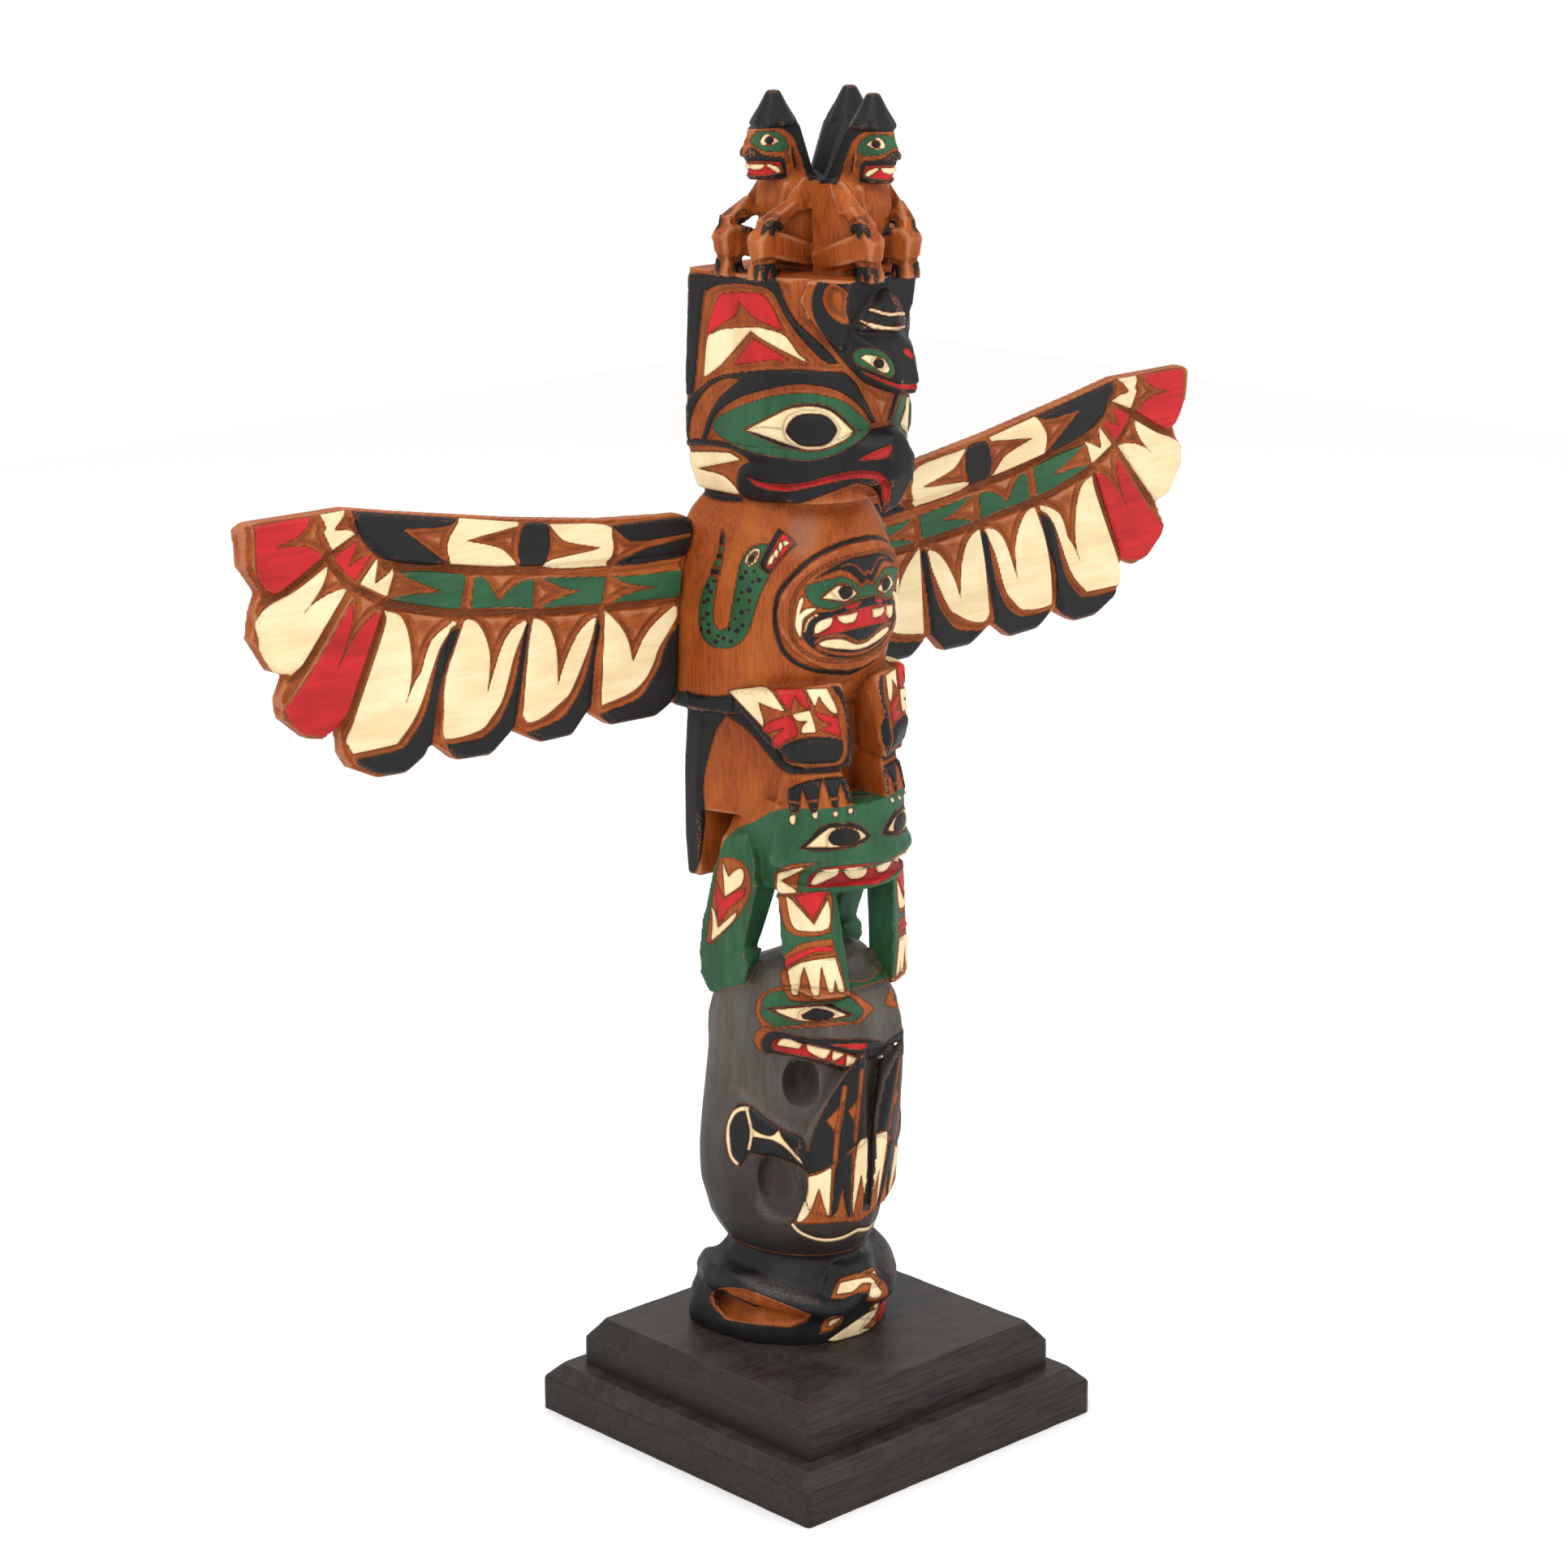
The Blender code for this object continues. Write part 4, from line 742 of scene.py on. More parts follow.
CROUCHER_MARKS = [
    ("wood", -2, 3.5, [(875, 1600), (878, 1592), (888, 1587), (900, 1586), (915, 1588), (935, 1594),
        (1000, 1620), (995, 1627), (985, 1631), (965, 1635), (900, 1627), (888, 1619), (879, 1610)]),
    ("wood", 0, 1.2, [(1023, 1600), (1033, 1578), (1050, 1571), (1070, 1568), (1085, 1575), (1093, 1585),
        (1095, 1597), (1080, 1603), (1068, 1604), (1070, 1592), (1055, 1594), (1040, 1600)]),
    ("cream", 0.8, 1.2, [(1030, 1595), (1033, 1585), (1037, 1580), (1065, 1574), (1073, 1575),
        (1087, 1592), (1084, 1598), (1075, 1600), (1070, 1597), (1073, 1582), (1062, 1582), (1050, 1592)]),
    ("wood", 0, 1.2, [(1010, 1643), (1014, 1630), (1022, 1623), (1040, 1621), (1036, 1630), (1022, 1640)]),
    ("cream", 0.5, 1.2, [(1019, 1636), (1022, 1628), (1028, 1625), (1037, 1623), (1030, 1630)]),
    ("wood", 0, 1.2, [(1058, 1640), (1068, 1625), (1082, 1610), (1104, 1592), (1106, 1625), (1085, 1640)]),
    ("cream", 0.6, 1.2, [(1020, 1651), (1065, 1620), (1081, 1612), (1077, 1622), (1062, 1637),
        (1078, 1635), (1070, 1641), (1030, 1653)]),
    ("red", 0.6, 1.2, [(1080, 1634), (1081, 1620), (1084, 1610), (1090, 1602), (1103, 1595),
        (1104, 1612), (1092, 1627), (1086, 1632)]),
    # Dust with a painted highlight along the top of the croucher's tail
    ("dust", 0, 1, [(905, 1572), (930, 1571), (955, 1575), (980, 1586), (1005, 1598), (1010, 1608),
        (990, 1606), (960, 1600), (930, 1590)])]
WATCHMAN_MARKS = [
    ("black", 0, 1, [(1075, 150), (1066, 161), (1056, 168), (1048, 180), (1033, 224), (1024, 226),
        (1000, 222), (985, 190), (1010, 150)]),
    ("green", 0.3, 1.5, [(1056, 187), (1058, 178), (1064, 171), (1073, 166), (1092, 166), (1098, 170),
        (1102, 176), (1101, 182), (1085, 191), (1060, 192)]),
    ("cream", 0.6, 1.6, [(1067, 178), (1080, 170), (1087, 172), (1092, 181), (1086, 184), (1078, 184)]),
    ("black", 0.3, 1.5, [(1074, 178), (1076, 174), (1080, 173), (1084, 175), (1085, 179), (1082, 182),
        (1078, 182)]),
    ("black", 0.8, 1.4, [(1059, 222), (1061, 202), (1067, 198), (1080, 197), (1090, 194), (1097, 188),
        (1104, 186), (1110, 196), (1106, 203), (1106, 222), (1100, 227), (1070, 226), (1062, 225)]),
    ("red", -1.6, 1.2, [(1064, 218), (1066, 209), (1071, 204), (1106, 204), (1106, 219), (1090, 221)]),
    ("cream", 1.6, 1.2, [(1066, 215), (1070, 210), (1083, 206), (1082, 210), (1072, 217), (1067, 218)]),
    ("cream", 1.6, 1.2, [(1085, 207), (1103, 207), (1104, 212), (1098, 215), (1090, 214), (1086, 211)]),
    ("wood", "line", 1.6, [(1062, 189), (1058, 196), (1056, 205)]),
    ("black", 0.8, 1.2, [(1048, 277), (1056, 275), (1064, 276), (1070, 281), (1073, 293), (1069, 293),
        (1064, 286), (1061, 294), (1057, 294), (1054, 286), (1052, 290), (1048, 284)]),
    ("wood", "line", 1.6, [(1048, 273), (1056, 269), (1064, 270), (1069, 274)]),
    ("wood", "line", 1.6, [(1050, 326), (1060, 324), (1072, 325), (1082, 328)]),
    ("black", 0.8, 1.4, [(1050, 333), (1054, 329), (1072, 329), (1082, 332), (1082, 346), (1078, 350),
        (1074, 336), (1071, 350), (1066, 350), (1063, 336), (1060, 349), (1055, 349)])]
# Each group with the height marks it lies between
MARKED = [(715, 905, EAGLE_HEAD_MARKS), (715, 905, CREST_ANIMAL_MARKS),
          (560, 735, SNAKE_MARKS), (560, 735, BREAST_MASK_MARKS),
          (495, 620, EAGLE_THIGH_MARKS), (440, 620, EAGLE_FOOT_MARKS),
          (430, 620, EAGLE_TAIL_MARKS), (380, 520, BEAST_FACE_MARKS),
          (140, 400, WHALE_FACE_MARKS), (140, 400, WHALE_TAIL_MARKS),
          (100, 330, WHALE_FIN_MARKS),
          (330, 470, BEAST_FORE_LEG_MARKS), (330, 470, BEAST_HIND_LEG_MARKS),
          (70, 200, CROUCHER_MARKS)]

# How far off the surface a look starts
EYE_CLEARANCE = 1.6 * MM


def sees(points, normals, side):
    """Which points the eye sees; for those right of the middle plane, its mirror image looks."""
    start = points + normals * EYE_CLEARANCE
    seen = np.zeros(len(points), bool)
    eyes = {1: EYE, -1: Vector((-EYE.x, EYE.y, EYE.z))}
    for i, (x, y, z) in enumerate(start):
        place = Vector((x, y, z))
        target = eyes[side[i]]
        if Vector(normals[i]).dot(target - place) > 0:
            seen[i] = shell.ray_cast(place, target - place)[0] is None
    return seen


# Facets settle less from the first of two height marks up to the second, so the watchmen stay crisp
CRISP_MARKS, CRISP_SHARE = (CROWN - 30, CROWN + 2), 0.3
# The croucher and the whale's flanks are scraped round, so their cuts run out softly: height marks
# where that comes in and goes out, and the y in mm where the flanks begin behind the fins
FLANK_STEPS, FOOT_SHARE = 80, 0.35
FLANK_MARKS, FOOT_MARKS, FLANK_FRONT = (165, 180, 300, 315), (78, 84, 130, 142), (-38, -28)
IN_AND_OUT = (0, 1, 1, 0)

points, cells = cut_small("carved_pole", POLE_CELL)
mark = points[:, 2] / MM - POLE_FOOT_HEIGHT + GRID_FOOT
smoothness = np.interp(mark, CRISP_MARKS, (1, CRISP_SHARE))
points = settle(points, cells, SETTLE_STEPS, smoothness)
flank = np.interp(mark, FLANK_MARKS, IN_AND_OUT) * np.interp(points[:, 1] / MM, FLANK_FRONT, (0, 1))
flank = np.maximum(flank, np.interp(mark, FOOT_MARKS, IN_AND_OUT) * FOOT_SHARE)
points = settle(points, cells, FLANK_STEPS, flank, (0.5,))
normals = outward(points, cells)
shell = BVHTree.FromPolygons(points.tolist(), cells.tolist())
x, y, z = (points / MM).T
mark = z - POLE_FOOT_HEIGHT + GRID_FOOT
side = np.where(x > 0, -1, 1)
folded = np.stack([-np.abs(points[:, 0]), points[:, 1], points[:, 2]], axis=1)
places, scale = in_picture(folded)
paint = new_paint(len(points))
lifts = np.zeros(len(points))

# Thin all-over coats come first: black on the croucher, a grey wash on the whale, green on the beast
everywhere = np.arange(len(points))
lay(paint, "black", everywhere, mark - CROUCHER_TOP)
lay(paint, "slate", everywhere, np.maximum(CROUCHER_TOP - mark, mark - BEAST_FOOT))
# Beast: its back slopes down from the eagle's feet to the tail, by y and height mark, and its legs
# stand out from the whale's head by so many mm, down to a height mark, each again by y
BACK_Y, BACK_MARK = (-34, -10, 12, 28, 38, 50), (510.5, 502, 489, 482, 464, 445)
LEG_OUT_Y, LEG_OUT, LEG_FOOT_Y, LEG_FOOT = (-10, 10), (5, 2), (-14, 4), (366, 338)
# Tail board: how far back the green reaches on it, and the height mark of its foot
TAIL_FACE, TAIL_FOOT = 56, 438
# Whale's head: height mark, half width, y of its back, reach ahead of its middle, and y of its middle
WHALE_CROWN = np.array([(328, 59, 70, 79, 22), (348, 58, 64, 73, 16), (362, 54, 54, 62, 8),
                        (374, 46, 38, 49, 0), (384, 34, 16, 34, -8), (389, 20, -6, 16, -18)])
wide, back, ahead_of, middle = (np.interp(mark, WHALE_CROWN[:, 0], WHALE_CROWN[:, i]) for i in range(1, 5))
rim = np.hypot(x / wide, np.minimum(y - middle, 0) / ahead_of) * wide - wide
leg_out, leg_foot = np.interp(y, LEG_OUT_Y, LEG_OUT), np.interp(y, LEG_FOOT_Y, LEG_FOOT)
legs = np.maximum(leg_out - np.maximum(rim, y - back), leg_foot - mark)
beast = np.maximum(mark - np.interp(y, BACK_Y, BACK_MARK), np.minimum(BEAST_FOOT - mark, legs))
beast = np.where(mark > TAIL_FOOT, np.maximum(beast, y - TAIL_FACE), beast)
lay(paint, "green", everywhere, beast)

visible = np.zeros(len(points), bool)
ask = np.flatnonzero(mark < CROWN)
visible[ask] = sees(points[ask], normals[ask], side[ask])
for low, high, marks in MARKED:
    where = np.flatnonzero(visible & (mark > low) & (mark < high))
    work(marks, paint, lifts, places, scale, where)

# Figures that aren't alike on both halves, by lower and upper height mark: right of the middle their
# marks go where the eye sees them
UNLIKE = [(BELOW_ALL, CROUCHER_TOP, CROUCHER_MARKS), (790, CROWN, CREST_ANIMAL_MARKS)]
seen_places, seen_scale = in_picture(points)
for low, high, marks in UNLIKE:
    where = np.flatnonzero((mark > low) & (mark < high) & (x > 0))
    where = where[sees(points[where], normals[where], np.ones(len(where)))]
    work(marks, paint, lifts, seen_places, seen_scale, where)

# Between the painted shapes of the eagle's head and thighs the ground is cut down. Cut: its lower and
# upper height mark, how far forward it begins (y in mm), and its slope
NOTCHED = [(BREAST_TOP + 10, CROWN - 3, 200, 0.6), (545, 598, -30, 0.5)]
for low, high, front, slope in NOTCHED:
    notch(paint, lifts, np.flatnonzero(visible & (mark > low) & (mark < high) & (y < front)), slope)

# The watchmen are alike, so the marks of the one in front are turned and moved onto the others.
# Watchman: middle of the body in mm, the way it faces, and how far ahead its hat and then its knees are
WATCHMEN = [((0, -22), 0.0, 42, 25), ((2, 6), -math.pi / 2, 34, 38), ((-2, -6), math.pi / 2, 35, 36)]
FRONT_PLACE, _, FRONT_HAT, FRONT_REACH = WATCHMEN[0]
# Their shoulders, hair and hat brims above the crown in mm, and how far round the marks reach
SHOULDER, HAIR_FOOT, HAT_BRIM, BEHIND = 60, 64, 104.5, 0.35
forward, sideways = [], []
for middle, angle, hat, reach in WATCHMEN:
    off_x, off_y = x - middle[0], y - middle[1]
    forward.append(off_x * math.sin(angle) - off_y * math.cos(angle))
    sideways.append(np.abs(off_x * math.cos(angle) + off_y * math.sin(angle)))
whose = (np.array(forward) - np.array(sideways)).argmax(axis=0)
for number, (middle, angle, hat, reach) in enumerate(WATCHMEN):
    shift = np.where(mark > CROWN + SHOULDER, hat - FRONT_HAT, hat + reach - FRONT_HAT - FRONT_REACH)
    faces_out = normals[:, 0] * math.sin(angle) - normals[:, 1] * math.cos(angle) > -BEHIND
    where = np.flatnonzero((mark > CROWN) & (whose == number) & faces_out)
    own = np.stack([FRONT_PLACE[0] - sideways[number],
                    FRONT_PLACE[1] - forward[number] + shift, z], axis=1)[where] * MM
    own_places, own_scale = np.zeros_like(places), np.ones(len(points))
    own_places[where], own_scale[where] = in_picture(own)
    work(WATCHMAN_MARKS, paint, lifts, own_places, own_scale, where)
    hair = np.flatnonzero((mark > CROWN + SHOULDER) & (whose == number) & ~faces_out)
    lay(paint, "black", hair, (CROWN + HAIR_FOOT - mark)[hair])
above = np.flatnonzero(mark > CROWN)
lay(paint, "black", above, (CROWN + HAT_BRIM - mark)[above])

points = np.clip(points + normals * lifts[:, None], *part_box("carved_pole"))
normals = outward(points, cells)


# Rounds of averaging that give the rounded mean of the surface
HOLLOW_STEPS = 14


def hollows(points, cells):
    """How many mm each point lies below the rounded mean of the surface round it; less on arrises."""
    here, there = neighbours(cells)
    counts = np.maximum(np.bincount(here, minlength=len(points)), 1)
    broad = points
    for _ in range(HOLLOW_STEPS):
        broad = averaged(broad, here, there, counts)
    return ((broad - points) * outward(points, cells)).sum(axis=1) / MM


# How deep each point lies; the material paints shade and dirt into the deepest places
paint["hollow"] = hollows(points, cells)

# How far from its height a cut end's rim may lie
RIM_REACH = 8 * MM


def close_ends(shape, ends):
    """Fills a piece's cut ends, given as (height, way out), with flat cells that face out of it."""
    for height, way_out in ends:
        rim = [edge for edge in shape.edges
               if edge.is_boundary and abs(edge.verts[0].co.z - height) < RIM_REACH]
        if not rim:
            continue
        made = bmesh.ops.triangle_fill(shape, use_beauty=False, use_dissolve=False, edges=rim,
                                       normal=(0, 0, way_out))
        faces = [item for item in made["geom"] if isinstance(item, bmesh.types.BMFace)]
        for face in faces:
            face.normal_update()
        bmesh.ops.reverse_faces(shape, faces=[face for face in faces if face.normal.z * way_out < 0])


def piece(name, points, cells, normals, paint, used, ends=()):
    """A closed mesh of the chosen cells, with its paint edges and the whole carving's normals."""
    kept, renumbered = np.unique(cells[used], return_inverse=True)
    mesh = bpy.data.meshes.new(name)
    mesh.from_pydata(points[kept].tolist(), [], renumbered.reshape(-1, 4).tolist())
    shape = bmesh.new()
    shape.from_mesh(mesh)
    close_ends(shape, ends)
    shape.to_mesh(mesh)
    shape.free()
    for layer_name, values in paint.items():
        layer = mesh.attributes.new(layer_name, "FLOAT", "POINT")
        layer.data.foreach_set("value", values[kept].astype(np.float32))
    mesh.shade_smooth()
    mesh.normals_split_custom_set_from_vertices(normals[kept].tolist())
    item = bpy.data.objects.new(name, mesh)
    bpy.context.scene.collection.objects.link(item)
    return item


# Painted red cedar: bare wood has a dull silk and fine straight grain, darker in the cuts with painted
# shade and dirt, and paler and pinkish where hands have rubbed the arrises; the paints are thin, matt to
# silky, brushed on by hand up to the knife cuts, and worn through in places. Painted shade and dirt
# darken wood and paint alike in the hollows and along the cuts.
CEDAR_DARK, CEDAR_MIDDLE, CEDAR_PALE, CEDAR_RUBBED, CUT_SHADE_AND_DIRT = ("#73320D", "#9A4815", "#B96729",
                                                                "#B57B58", "#34180A")
SLATE_LOW, DUST_AND_HIGHLIGHT_COLOUR = "#1E1814", "#7A716B"
# Heights in metres between which the grey wash goes from darker at the bottom to its own colour
SLATE_FADE = (0.12, 0.33)
COATS = {"slate": ("#3F3833", "#57504A"), "black": ("#100F10", "#1B1A1B"),
         "green": ("#1E442B", "#2C5B3B"), "cream": ("#D9C090", "#EDD8AF"), "red": ("#9C1418", "#C42024")}
GRAIN_MM, CLOUD_MM, BRUSH_MM, PITS_MM, WAVER_MM = 1.5, 24.0, 3.0, 1.2, 3.5
PAINT_GAP_MM, PAINT_SOFT_MM, PAINT_WAVER_MM = 0.15, 0.2, 0.4
GROOVE_HALF_MM, GROOVE_MM, PAINT_SHINE, WOOD_ROUGH = 1.0, 1.1, 0.22, 0.5
# How far proud of the surface round it, in mm, wood is rubbed pale and paint worn off; how far below it
# painted shade and dirt darken it; and how far from its mark, in mm, dust with a painted highlight lies
# thinly and thickly
RUBBED_MM, WORN_MM, SHADE_AND_DIRT_MM, DUST_AND_HIGHLIGHT_MM = (0.4, 1.2), (0.95, 1.7), (0.25, 1.7), (3.0, -5.0)
PALE_SHARE, RUBBED_SHARE, CUT_SHADE_SHARE, LINED_SHARE, SHADE_AND_DIRT_SHARE, DUST_AND_HIGHLIGHT_SHARE = 0.5, 0.5, 0.5, 0.35, 0.5, 0.4
# How far the grain, the tool's facets and the pits rise, and how much smoother paint is than wood
GRAIN_RISE_MM, TOOL_RISE_MM, PIT_RISE_MM, COAT_SMOOTHS = 0.07, 1.6, 0.1, 0.1


def bare_cedar(tree, grain, cloud, proud, in_cut):
    """The colour of bare wood, then of what hands have rubbed, then painted shade and dirt in the knife
    cuts.
    """
    shown = add(tree, RANGE, (grain, 0.28, 0.72), **STEP)
    colour = add(tree, MIX, {0: shown, 6: CEDAR_DARK, 7: CEDAR_MIDDLE}, **COLOURS)
    patchy = add(tree, RANGE, (cloud, 0.35, 0.75, 0.0, PALE_SHARE), **STEP)
    colour = add(tree, MIX, {0: patchy, 6: colour, 7: CEDAR_PALE}, **COLOURS)
    rubbed = add(tree, RANGE, (proud, *RUBBED_MM, 0.0, RUBBED_SHARE), **STEP)
    colour = add(tree, MIX, {0: rubbed, 6: colour, 7: CEDAR_RUBBED}, **COLOURS)
    # Painted shade and dirt: bare wood darkened along the knife cuts
    cut_shade = add(tree, MATH, (in_cut, CUT_SHADE_SHARE), operation="MULTIPLY")
    return add(tree, MIX, {0: cut_shade, 6: colour, 7: CUT_SHADE_AND_DIRT}, **COLOURS)


def worn_paint(tree, proud, pits):
    """How much paint is left: none in spots on the most rubbed arrises."""
    through = add(tree, RANGE, (proud, *WORN_MM), **STEP)
    spots = add(tree, RANGE, (pits, 0.5, 0.64), **STEP)
    gone = add(tree, MATH, (through, spots), operation="MULTIPLY")
    return add(tree, MATH, (1.0, gone), operation="SUBTRACT")


def coated(tree, colour, edge, coords, tone, waver, left):
    """The colour under every paint up to its wavering edge, and how thickly it is painted."""
    height = add(tree, "ShaderNodeSeparateXYZ", (coords,)).node.outputs["Z"]
    wash_by_height = add(tree, RANGE, (height, *SLATE_FADE), **STEP)
    coat = 0.0
    for paint_name, (dark, pale) in COATS.items():
        there = add(tree, MATH, (edge[paint_name], waver), operation="ADD")
        there = add(tree, RANGE, (there, -PAINT_GAP_MM, -PAINT_GAP_MM - PAINT_SOFT_MM), **STEP)
        there = add(tree, MATH, (there, left), operation="MULTIPLY")
        paint_colour = add(tree, MIX, {0: tone, 6: dark, 7: pale}, **COLOURS)
        if paint_name == "slate":
            paint_colour = add(tree, MIX, {0: wash_by_height, 6: SLATE_LOW, 7: paint_colour}, **COLOURS)
        colour = add(tree, MIX, {0: there, 6: colour, 7: paint_colour}, **COLOURS)
        coat = add(tree, MATH, (there, coat), operation="MAXIMUM")
    return colour, coat


def shaded_and_soiled(tree, colour, edge, in_cut, pits):
    """The colour with painted shade and dirt in the hollows and cuts, and dust with a painted highlight on
    the dusty marks.
    """
    # Painted shade and dirt: darker where the surface lies below its rounded mean, and along the cuts
    sunk = add(tree, RANGE, (edge["hollow"], *SHADE_AND_DIRT_MM, 0.0, SHADE_AND_DIRT_SHARE), **STEP)
    lined = add(tree, MATH, (in_cut, LINED_SHARE), operation="MULTIPLY")
    sunk = add(tree, MATH, (sunk, lined), operation="MAXIMUM")
    colour = add(tree, MIX, {0: sunk, 6: colour, 7: CUT_SHADE_AND_DIRT}, **COLOURS)
    # Dust with a painted highlight: pale grey specks on the dust marks
    dust_and_highlight = add(tree, RANGE, (edge["dust"], *DUST_AND_HIGHLIGHT_MM, 0.0, DUST_AND_HIGHLIGHT_SHARE), **STEP)
    specks = add(tree, RANGE, (pits, 0.35, 0.6), **STEP)
    dust_and_highlight = add(tree, MATH, (dust_and_highlight, specks), operation="MULTIPLY")
    return add(tree, MIX, {0: dust_and_highlight, 6: colour, 7: DUST_AND_HIGHLIGHT_COLOUR}, **COLOURS)


def painted_cedar(name, grain_way):
    """The painted wood, with its grain drawn out along the axis where grain_way is smallest."""
    material = bpy.data.materials.new(name)
    material.use_nodes = True
    tree = material.node_tree
    shader = tree.nodes["Principled BSDF"]
    shader.inputs["Specular IOR Level"].default_value = PAINT_SHINE
    coords = add(tree, "ShaderNodeTexCoord").node.outputs["Object"]
    edge = {layer: add(tree, "ShaderNodeAttribute", attribute_name=layer).node.outputs["Fac"]
            for layer in PAINTS + ("cut", "dust", "hollow")}
    grain = streaks(tree, coords, GRAIN_MM, grain_way, 5.0)
    cloud = streaks(tree, coords, CLOUD_MM, tuple(share ** 0.4 for share in grain_way), 5.0)
    brush = streaks(tree, coords, BRUSH_MM, grain_way, 4.0)
    pits = streaks(tree, coords, PITS_MM, (1, 1, 1), 3.0, 0.7)
    waver = streaks(tree, coords, WAVER_MM, (1, 1, 1), 3.0)
    waver = add(tree, RANGE, (waver, 0.0, 1.0, -PAINT_WAVER_MM, PAINT_WAVER_MM))
    ragged = add(tree, MATH, (pits, 0.4, -0.2), operation="MULTIPLY_ADD")
    proud = add(tree, MATH, (ragged, edge["hollow"]), operation="SUBTRACT")
    in_cut = add(tree, RANGE, (edge["cut"], GROOVE_HALF_MM, 0.1), **STEP)
    tone = add(tree, MATH, (brush, 0.25, 0.075), operation="MULTIPLY_ADD")
    tone = add(tree, MATH, (cloud, 0.6, tone), operation="MULTIPLY_ADD")
    tone = add(tree, RANGE, (tone, 0.35, 0.65), **STEP)

    colour = bare_cedar(tree, grain, cloud, proud, in_cut)
    colour, coat = coated(tree, colour, edge, coords, tone, waver, worn_paint(tree, proud, pits))
    colour = shaded_and_soiled(tree, colour, edge, in_cut, pits)
    tree.links.new(colour, shader.inputs["Base Color"])

    rough = add(tree, MATH, (coat, -COAT_SMOOTHS, WOOD_ROUGH), operation="MULTIPLY_ADD")
    rough = add(tree, MATH, (cloud, 0.2, rough), operation="MULTIPLY_ADD")
    tree.links.new(rough, shader.inputs["Roughness"])
    relief = add(tree, MATH, (in_cut, -GROOVE_MM), operation="MULTIPLY")
    for noise, rise in ((grain, GRAIN_RISE_MM), (cloud, TOOL_RISE_MM), (pits, PIT_RISE_MM)):
        relief = add(tree, MATH, (noise, rise, relief), operation="MULTIPLY_ADD")
    bump = add(tree, "ShaderNodeBump", {"Height": relief, "Distance": MM, "Strength": 0.8})
    tree.links.new(bump, shader.inputs["Normal"])
    return material


middles = mark[cells].mean(axis=1)
# Figure: its lower and upper height mark
FIGURES = [("croucher", BELOW_ALL, CROUCHER_TOP), ("whale", CROUCHER_TOP, 345), ("beast", 345, 506),
           ("eagle_body", 506, BREAST_TOP), ("eagle_head", BREAST_TOP, CROWN),
           ("watchmen", CROWN, ABOVE_ALL)]
painted = painted_cedar("hand_painted_cedar", (1.0, 1.0, 0.06))
for name, low, high in FIGURES:
    ends = [((end - GRID_FOOT + POLE_FOOT_HEIGHT) * MM, way_out) for end, way_out in ((low, -1), (high, 1))]
    carving = piece(name, points, cells, normals, paint, (middles >= low) & (middles < high), ends)
    carving.data.materials.append(painted)
    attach(carving, "root")
    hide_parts("carved_pole")

# Wings: a cedar board each, glued to the back of the flank. The feathers and the two bands above
# them are carved in low steps with knife-cut hollows, then painted; rims and cuts stay bare.
WING_CELL = 1.7 * MM
WING_SETTLE_STEPS = 5
# How far a place has to face forward to be carved, and the slope of the cuts between the feathers
WING_FACE_TURN, WING_NOTCH_SLOPE = 0.35, 0.85
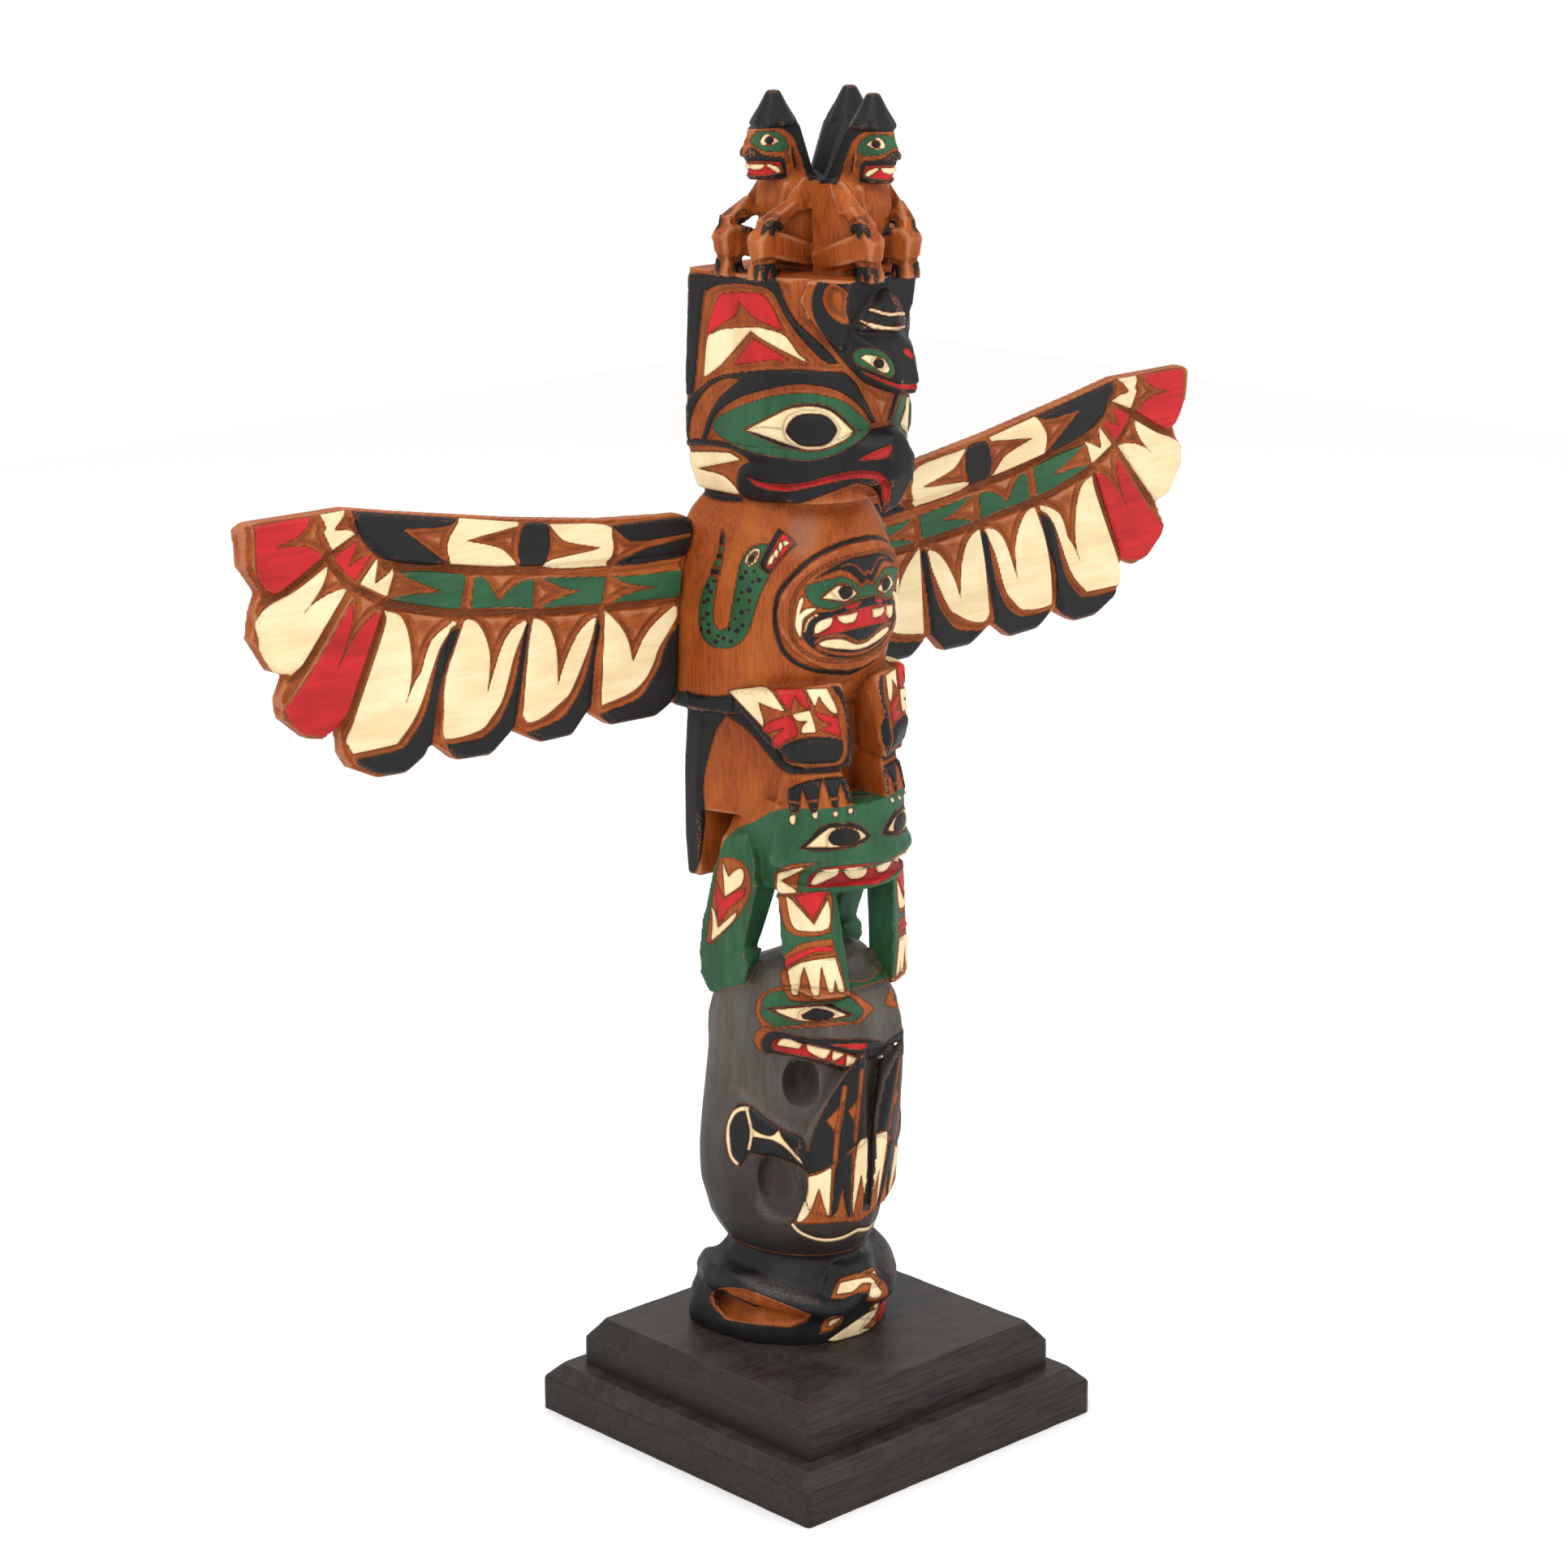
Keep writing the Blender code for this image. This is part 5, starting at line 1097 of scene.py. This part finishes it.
# Marks are (distance from the pole's axis, height) in mm, the same on both wings
WING_MARKS = [
    ("red", 0.6, 2, [(470.5, 770), (421, 770), (431, 759), (453, 752.5), (437, 752), (425, 749),
        (412, 740.5), (450, 721), (460, 723), (466, 729), (470, 740)]),
    ("cream", 0.6, 1.5, [(414.5, 770), (391, 770), (404, 758), (390, 756), (384, 752), (406, 743.5),
        (413, 757.5), (410.5, 760)]),
    ("red", 0.6, 1.5, [(402.5, 740.5), (384, 748), (384, 745), (392.5, 731), (380, 736), (372, 736),
        (388, 719.5), (399, 730), (404, 737.5)]),
    ("cream", 0.6, 1.5, [(369, 733), (367, 732), (370.5, 715.5), (352, 724), (360, 704), (384, 717)]),
    ("cream", 0.6, 2, [(410.5, 734.5), (411, 729), (417.5, 717.5), (431, 704.5), (425, 709),
        (412.5, 714), (400, 716), (392, 715), (435.5, 666), (446, 663), (456, 665), (464, 672.5),
        (468, 682.5), (470.5, 695), (470, 706), (457.5, 714), (437.5, 721)]),
    ("red", 0.6, 2, [(392.5, 704), (389, 706), (392.5, 685), (405, 660), (395, 675), (382.5, 687.5),
        (372.5, 694), (364, 696), (397.5, 624), (406, 617.5), (415, 615), (426, 615.5), (437.5, 620),
        (446, 630), (451, 640), (425, 665)]),
    ("cream", 0.6, 2, [(362, 695.5), (365, 680), (396, 615), (397, 604), (395, 598), (360, 598),
        (352.5, 601), (335, 620), (315, 661), (299, 675.5), (302.5, 678), (320, 670), (327.5, 660),
        (332.5, 647.5), (339, 640), (347, 625.5), (342.5, 637.5), (340.5, 650), (341, 665), (344, 680),
        (350, 690)]),
    ("black", 0.3, 2, [(300, 672.5), (315, 659), (327.5, 622.5), (335, 609), (345, 599), (355, 594),
        (392.5, 594), (387.5, 587.5), (367.5, 577.5), (347.5, 576), (337.5, 579), (327.5, 586),
        (322.5, 594), (319.5, 617.5), (314, 635), (298.5, 670)]),
    ("cream", 0.6, 2, [(293, 677.5), (287.5, 677.5), (280, 672.5), (274, 662.5), (270.5, 650),
        (271, 635), (274, 621), (260, 652.5), (250, 664), (240, 668), (234.5, 667.5), (247.5, 645),
        (259, 615), (270, 602.5), (280, 595), (300, 593), (314, 594), (314.5, 605), (310, 640)]),
    ("black", 0.3, 2, [(234, 666), (239, 660), (247.5, 627.5), (254, 612.5), (262.5, 600),
        (272.5, 592.5), (285, 589), (312.5, 590.5), (307.5, 582.5), (300, 576), (267.5, 575.5),
        (256, 581), (249, 590), (234, 657.5)]),
    ("cream", 0.6, 2, [(230, 669), (224, 667.5), (215, 660), (210, 647.5), (208, 635), (208, 616),
        (202.5, 630), (192.5, 646), (182.5, 656), (172.5, 660.5), (170.5, 659.5), (177.5, 640),
        (195, 610), (205, 602.5), (220, 595), (235, 592), (241, 597.5), (241, 605), (235.5, 645)]),
    ("black", 0.3, 2, [(167.5, 661), (170, 657.5), (180, 622.5), (190, 605), (202.5, 592.5),
        (217.5, 588), (237.5, 585.5), (230, 579), (220, 575), (195, 575.5), (186, 580), (177.5, 589),
        (171, 630), (166, 650)]),
    ("cream", 0.6, 2, [(162.5, 665), (147.5, 650), (140, 637.5), (136, 621), (127.5, 635), (117.5, 645),
        (100, 655), (92, 657), (92, 648), (110, 627.5), (115, 617.5), (125, 605), (140, 597.5),
        (167.5, 593)]),
    ("black", 0.3, 2, [(84, 643), (97, 637.5), (106, 625), (110, 615), (120, 602.5), (132.5, 592.5),
        (167.5, 587.5), (162.5, 579), (155, 576), (109, 576), (84, 586)]),
    ("green", 0.5, 1.5, [(350, 721), (320, 717), (290, 710), (296, 686), (310, 688), (357.5, 701),
        (350, 704), (312.5, 701), (340, 714)]),
    ("green", 0.5, 1.5, [(283, 706), (279, 707), (272.5, 704), (260.5, 686), (252.5, 692.5),
        (242.5, 697), (228, 697.5), (230.5, 675.5), (250, 680), (287, 684.5)]),
    ("green", 0.5, 1.5, [(224, 697.5), (160.5, 689), (165, 669), (222.5, 675), (212.5, 679), (185, 682),
        (200, 686)]),
    ("green", 0.5, 1.5, [(156, 689), (137.5, 686), (84, 683), (84, 662), (158, 668), (140, 673),
        (111, 674), (130, 677.5), (145, 682.5)]),
    ("black", 0.6, 2, [(388, 769), (295.5, 751), (302.5, 747.5), (315, 747), (345, 750), (305.5, 720),
        (320, 720.5), (340, 724.5), (360, 731), (375, 742.5), (382.5, 755)]),
    ("cream", 0.6, 2, [(294, 751), (240, 740.5), (241, 737.5), (289, 734), (262.5, 726), (252.5, 720),
        (242.5, 709), (260, 710.5), (304, 719), (306, 735)]),
    ("black", 0.6, 2.5, [(236, 739), (222.5, 738), (215, 735), (212.5, 725), (214, 715), (219, 705),
        (240, 707.5), (242.5, 720), (240, 732.5)]),
    ("cream", 0.6, 2, [(214, 735.5), (160, 727.5), (154, 717.5), (153, 707.5), (158, 696), (197.5, 700),
        (218, 704), (212.5, 709), (164, 710.5), (195, 719), (205, 725)]),
    ("black", 0.6, 2, [(155, 726), (72, 722), (72, 709), (130, 710.5), (145, 717.5)]),
    ("black", 0.6, 2, [(151, 695.5), (125, 704), (72, 707), (72, 692), (125, 693)])]

wing_finish = painted_cedar("hand_painted_cedar_board", (0.06, 1.0, 1.0))
for wing_name in ("eagle_left_wing", "eagle_right_wing"):
    wing_points, wing_cells = cut_small(wing_name, WING_CELL)
    wing_count = len(wing_points)
    wing_points = settle(wing_points, wing_cells, WING_SETTLE_STEPS, np.ones(wing_count))
    wing_normals = outward(wing_points, wing_cells)
    wing_paint, wing_lifts = new_paint(wing_count), np.zeros(wing_count)
    face = np.flatnonzero(wing_normals[:, 1] < -WING_FACE_TURN)
    wing_places = np.stack([np.abs(wing_points[:, 0]), wing_points[:, 2]], axis=1) / MM
    work(WING_MARKS, wing_paint, wing_lifts, wing_places, np.ones(wing_count), face)
    notch(wing_paint, wing_lifts, face, WING_NOTCH_SLOPE)
    wing_points = np.clip(wing_points + wing_normals * wing_lifts[:, None], *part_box(wing_name))
    wing_paint["hollow"] = hollows(wing_points, wing_cells)
    wing = piece(wing_name.replace("eagle_", ""), wing_points, wing_cells,
                 outward(wing_points, wing_cells), wing_paint, np.ones(len(wing_cells), bool))
    wing.data.materials.append(wing_finish)
    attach(wing, "root")
    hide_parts(wing_name)

# Room: a plain pale floor in white air, lit by large soft studio lamps.
FLOOR_SIZE = 8.0
FLOOR_COLOUR, AIR_COLOUR = "#FAF9F8", "#FFFFFF"
WORLD_STRENGTH = 1.0
LAMPS_AIM = Vector((0, 0, 0.5))

floor_mesh = bpy.data.meshes.new("studio_floor")
half = FLOOR_SIZE / 2
floor_mesh.from_pydata([(-half, -half, 0), (half, -half, 0), (half, half, 0), (-half, half, 0)], [],
                       [(0, 1, 2, 3)])
floor = bpy.data.objects.new("studio_floor", floor_mesh)
bpy.context.scene.collection.objects.link(floor)
paper = bpy.data.materials.new("matt_white_paper")
paper.use_nodes = True
paper_shader = paper.node_tree.nodes["Principled BSDF"]
paper_shader.inputs["Base Color"].default_value = linear(FLOOR_COLOUR)
paper_shader.inputs["Roughness"].default_value = 0.9
floor_mesh.materials.append(paper)

world = bpy.data.worlds.new("studio_air")
world.use_nodes = True
air = world.node_tree.nodes["Background"]
air.inputs["Color"].default_value = linear(AIR_COLOUR)
air.inputs["Strength"].default_value = WORLD_STRENGTH
bpy.context.scene.world = world

# Lamp: name, place in metres, width in metres, power in watts
LAMPS = [("key_softbox", (-1.9, -1.0, 2.6), 1.4, 34), ("front_softbox", (0.9, -2.4, 1.5), 1.6, 14),
         ("top_softbox", (0.2, 0.4, 2.9), 1.6, 12)]
for name, place, width, power in LAMPS:
    lamp_data = bpy.data.lights.new(name, "AREA")
    lamp_data.size = width
    lamp_data.energy = power
    lamp = bpy.data.objects.new(name, lamp_data)
    lamp.location = place
    lamp.rotation_euler = (LAMPS_AIM - Vector(place)).to_track_quat("-Z", "Y").to_euler()
    bpy.context.scene.collection.objects.link(lamp)

# Plain sRGB, so that the hex colours above are the colours seen
bpy.context.scene.view_settings.view_transform = "Standard"
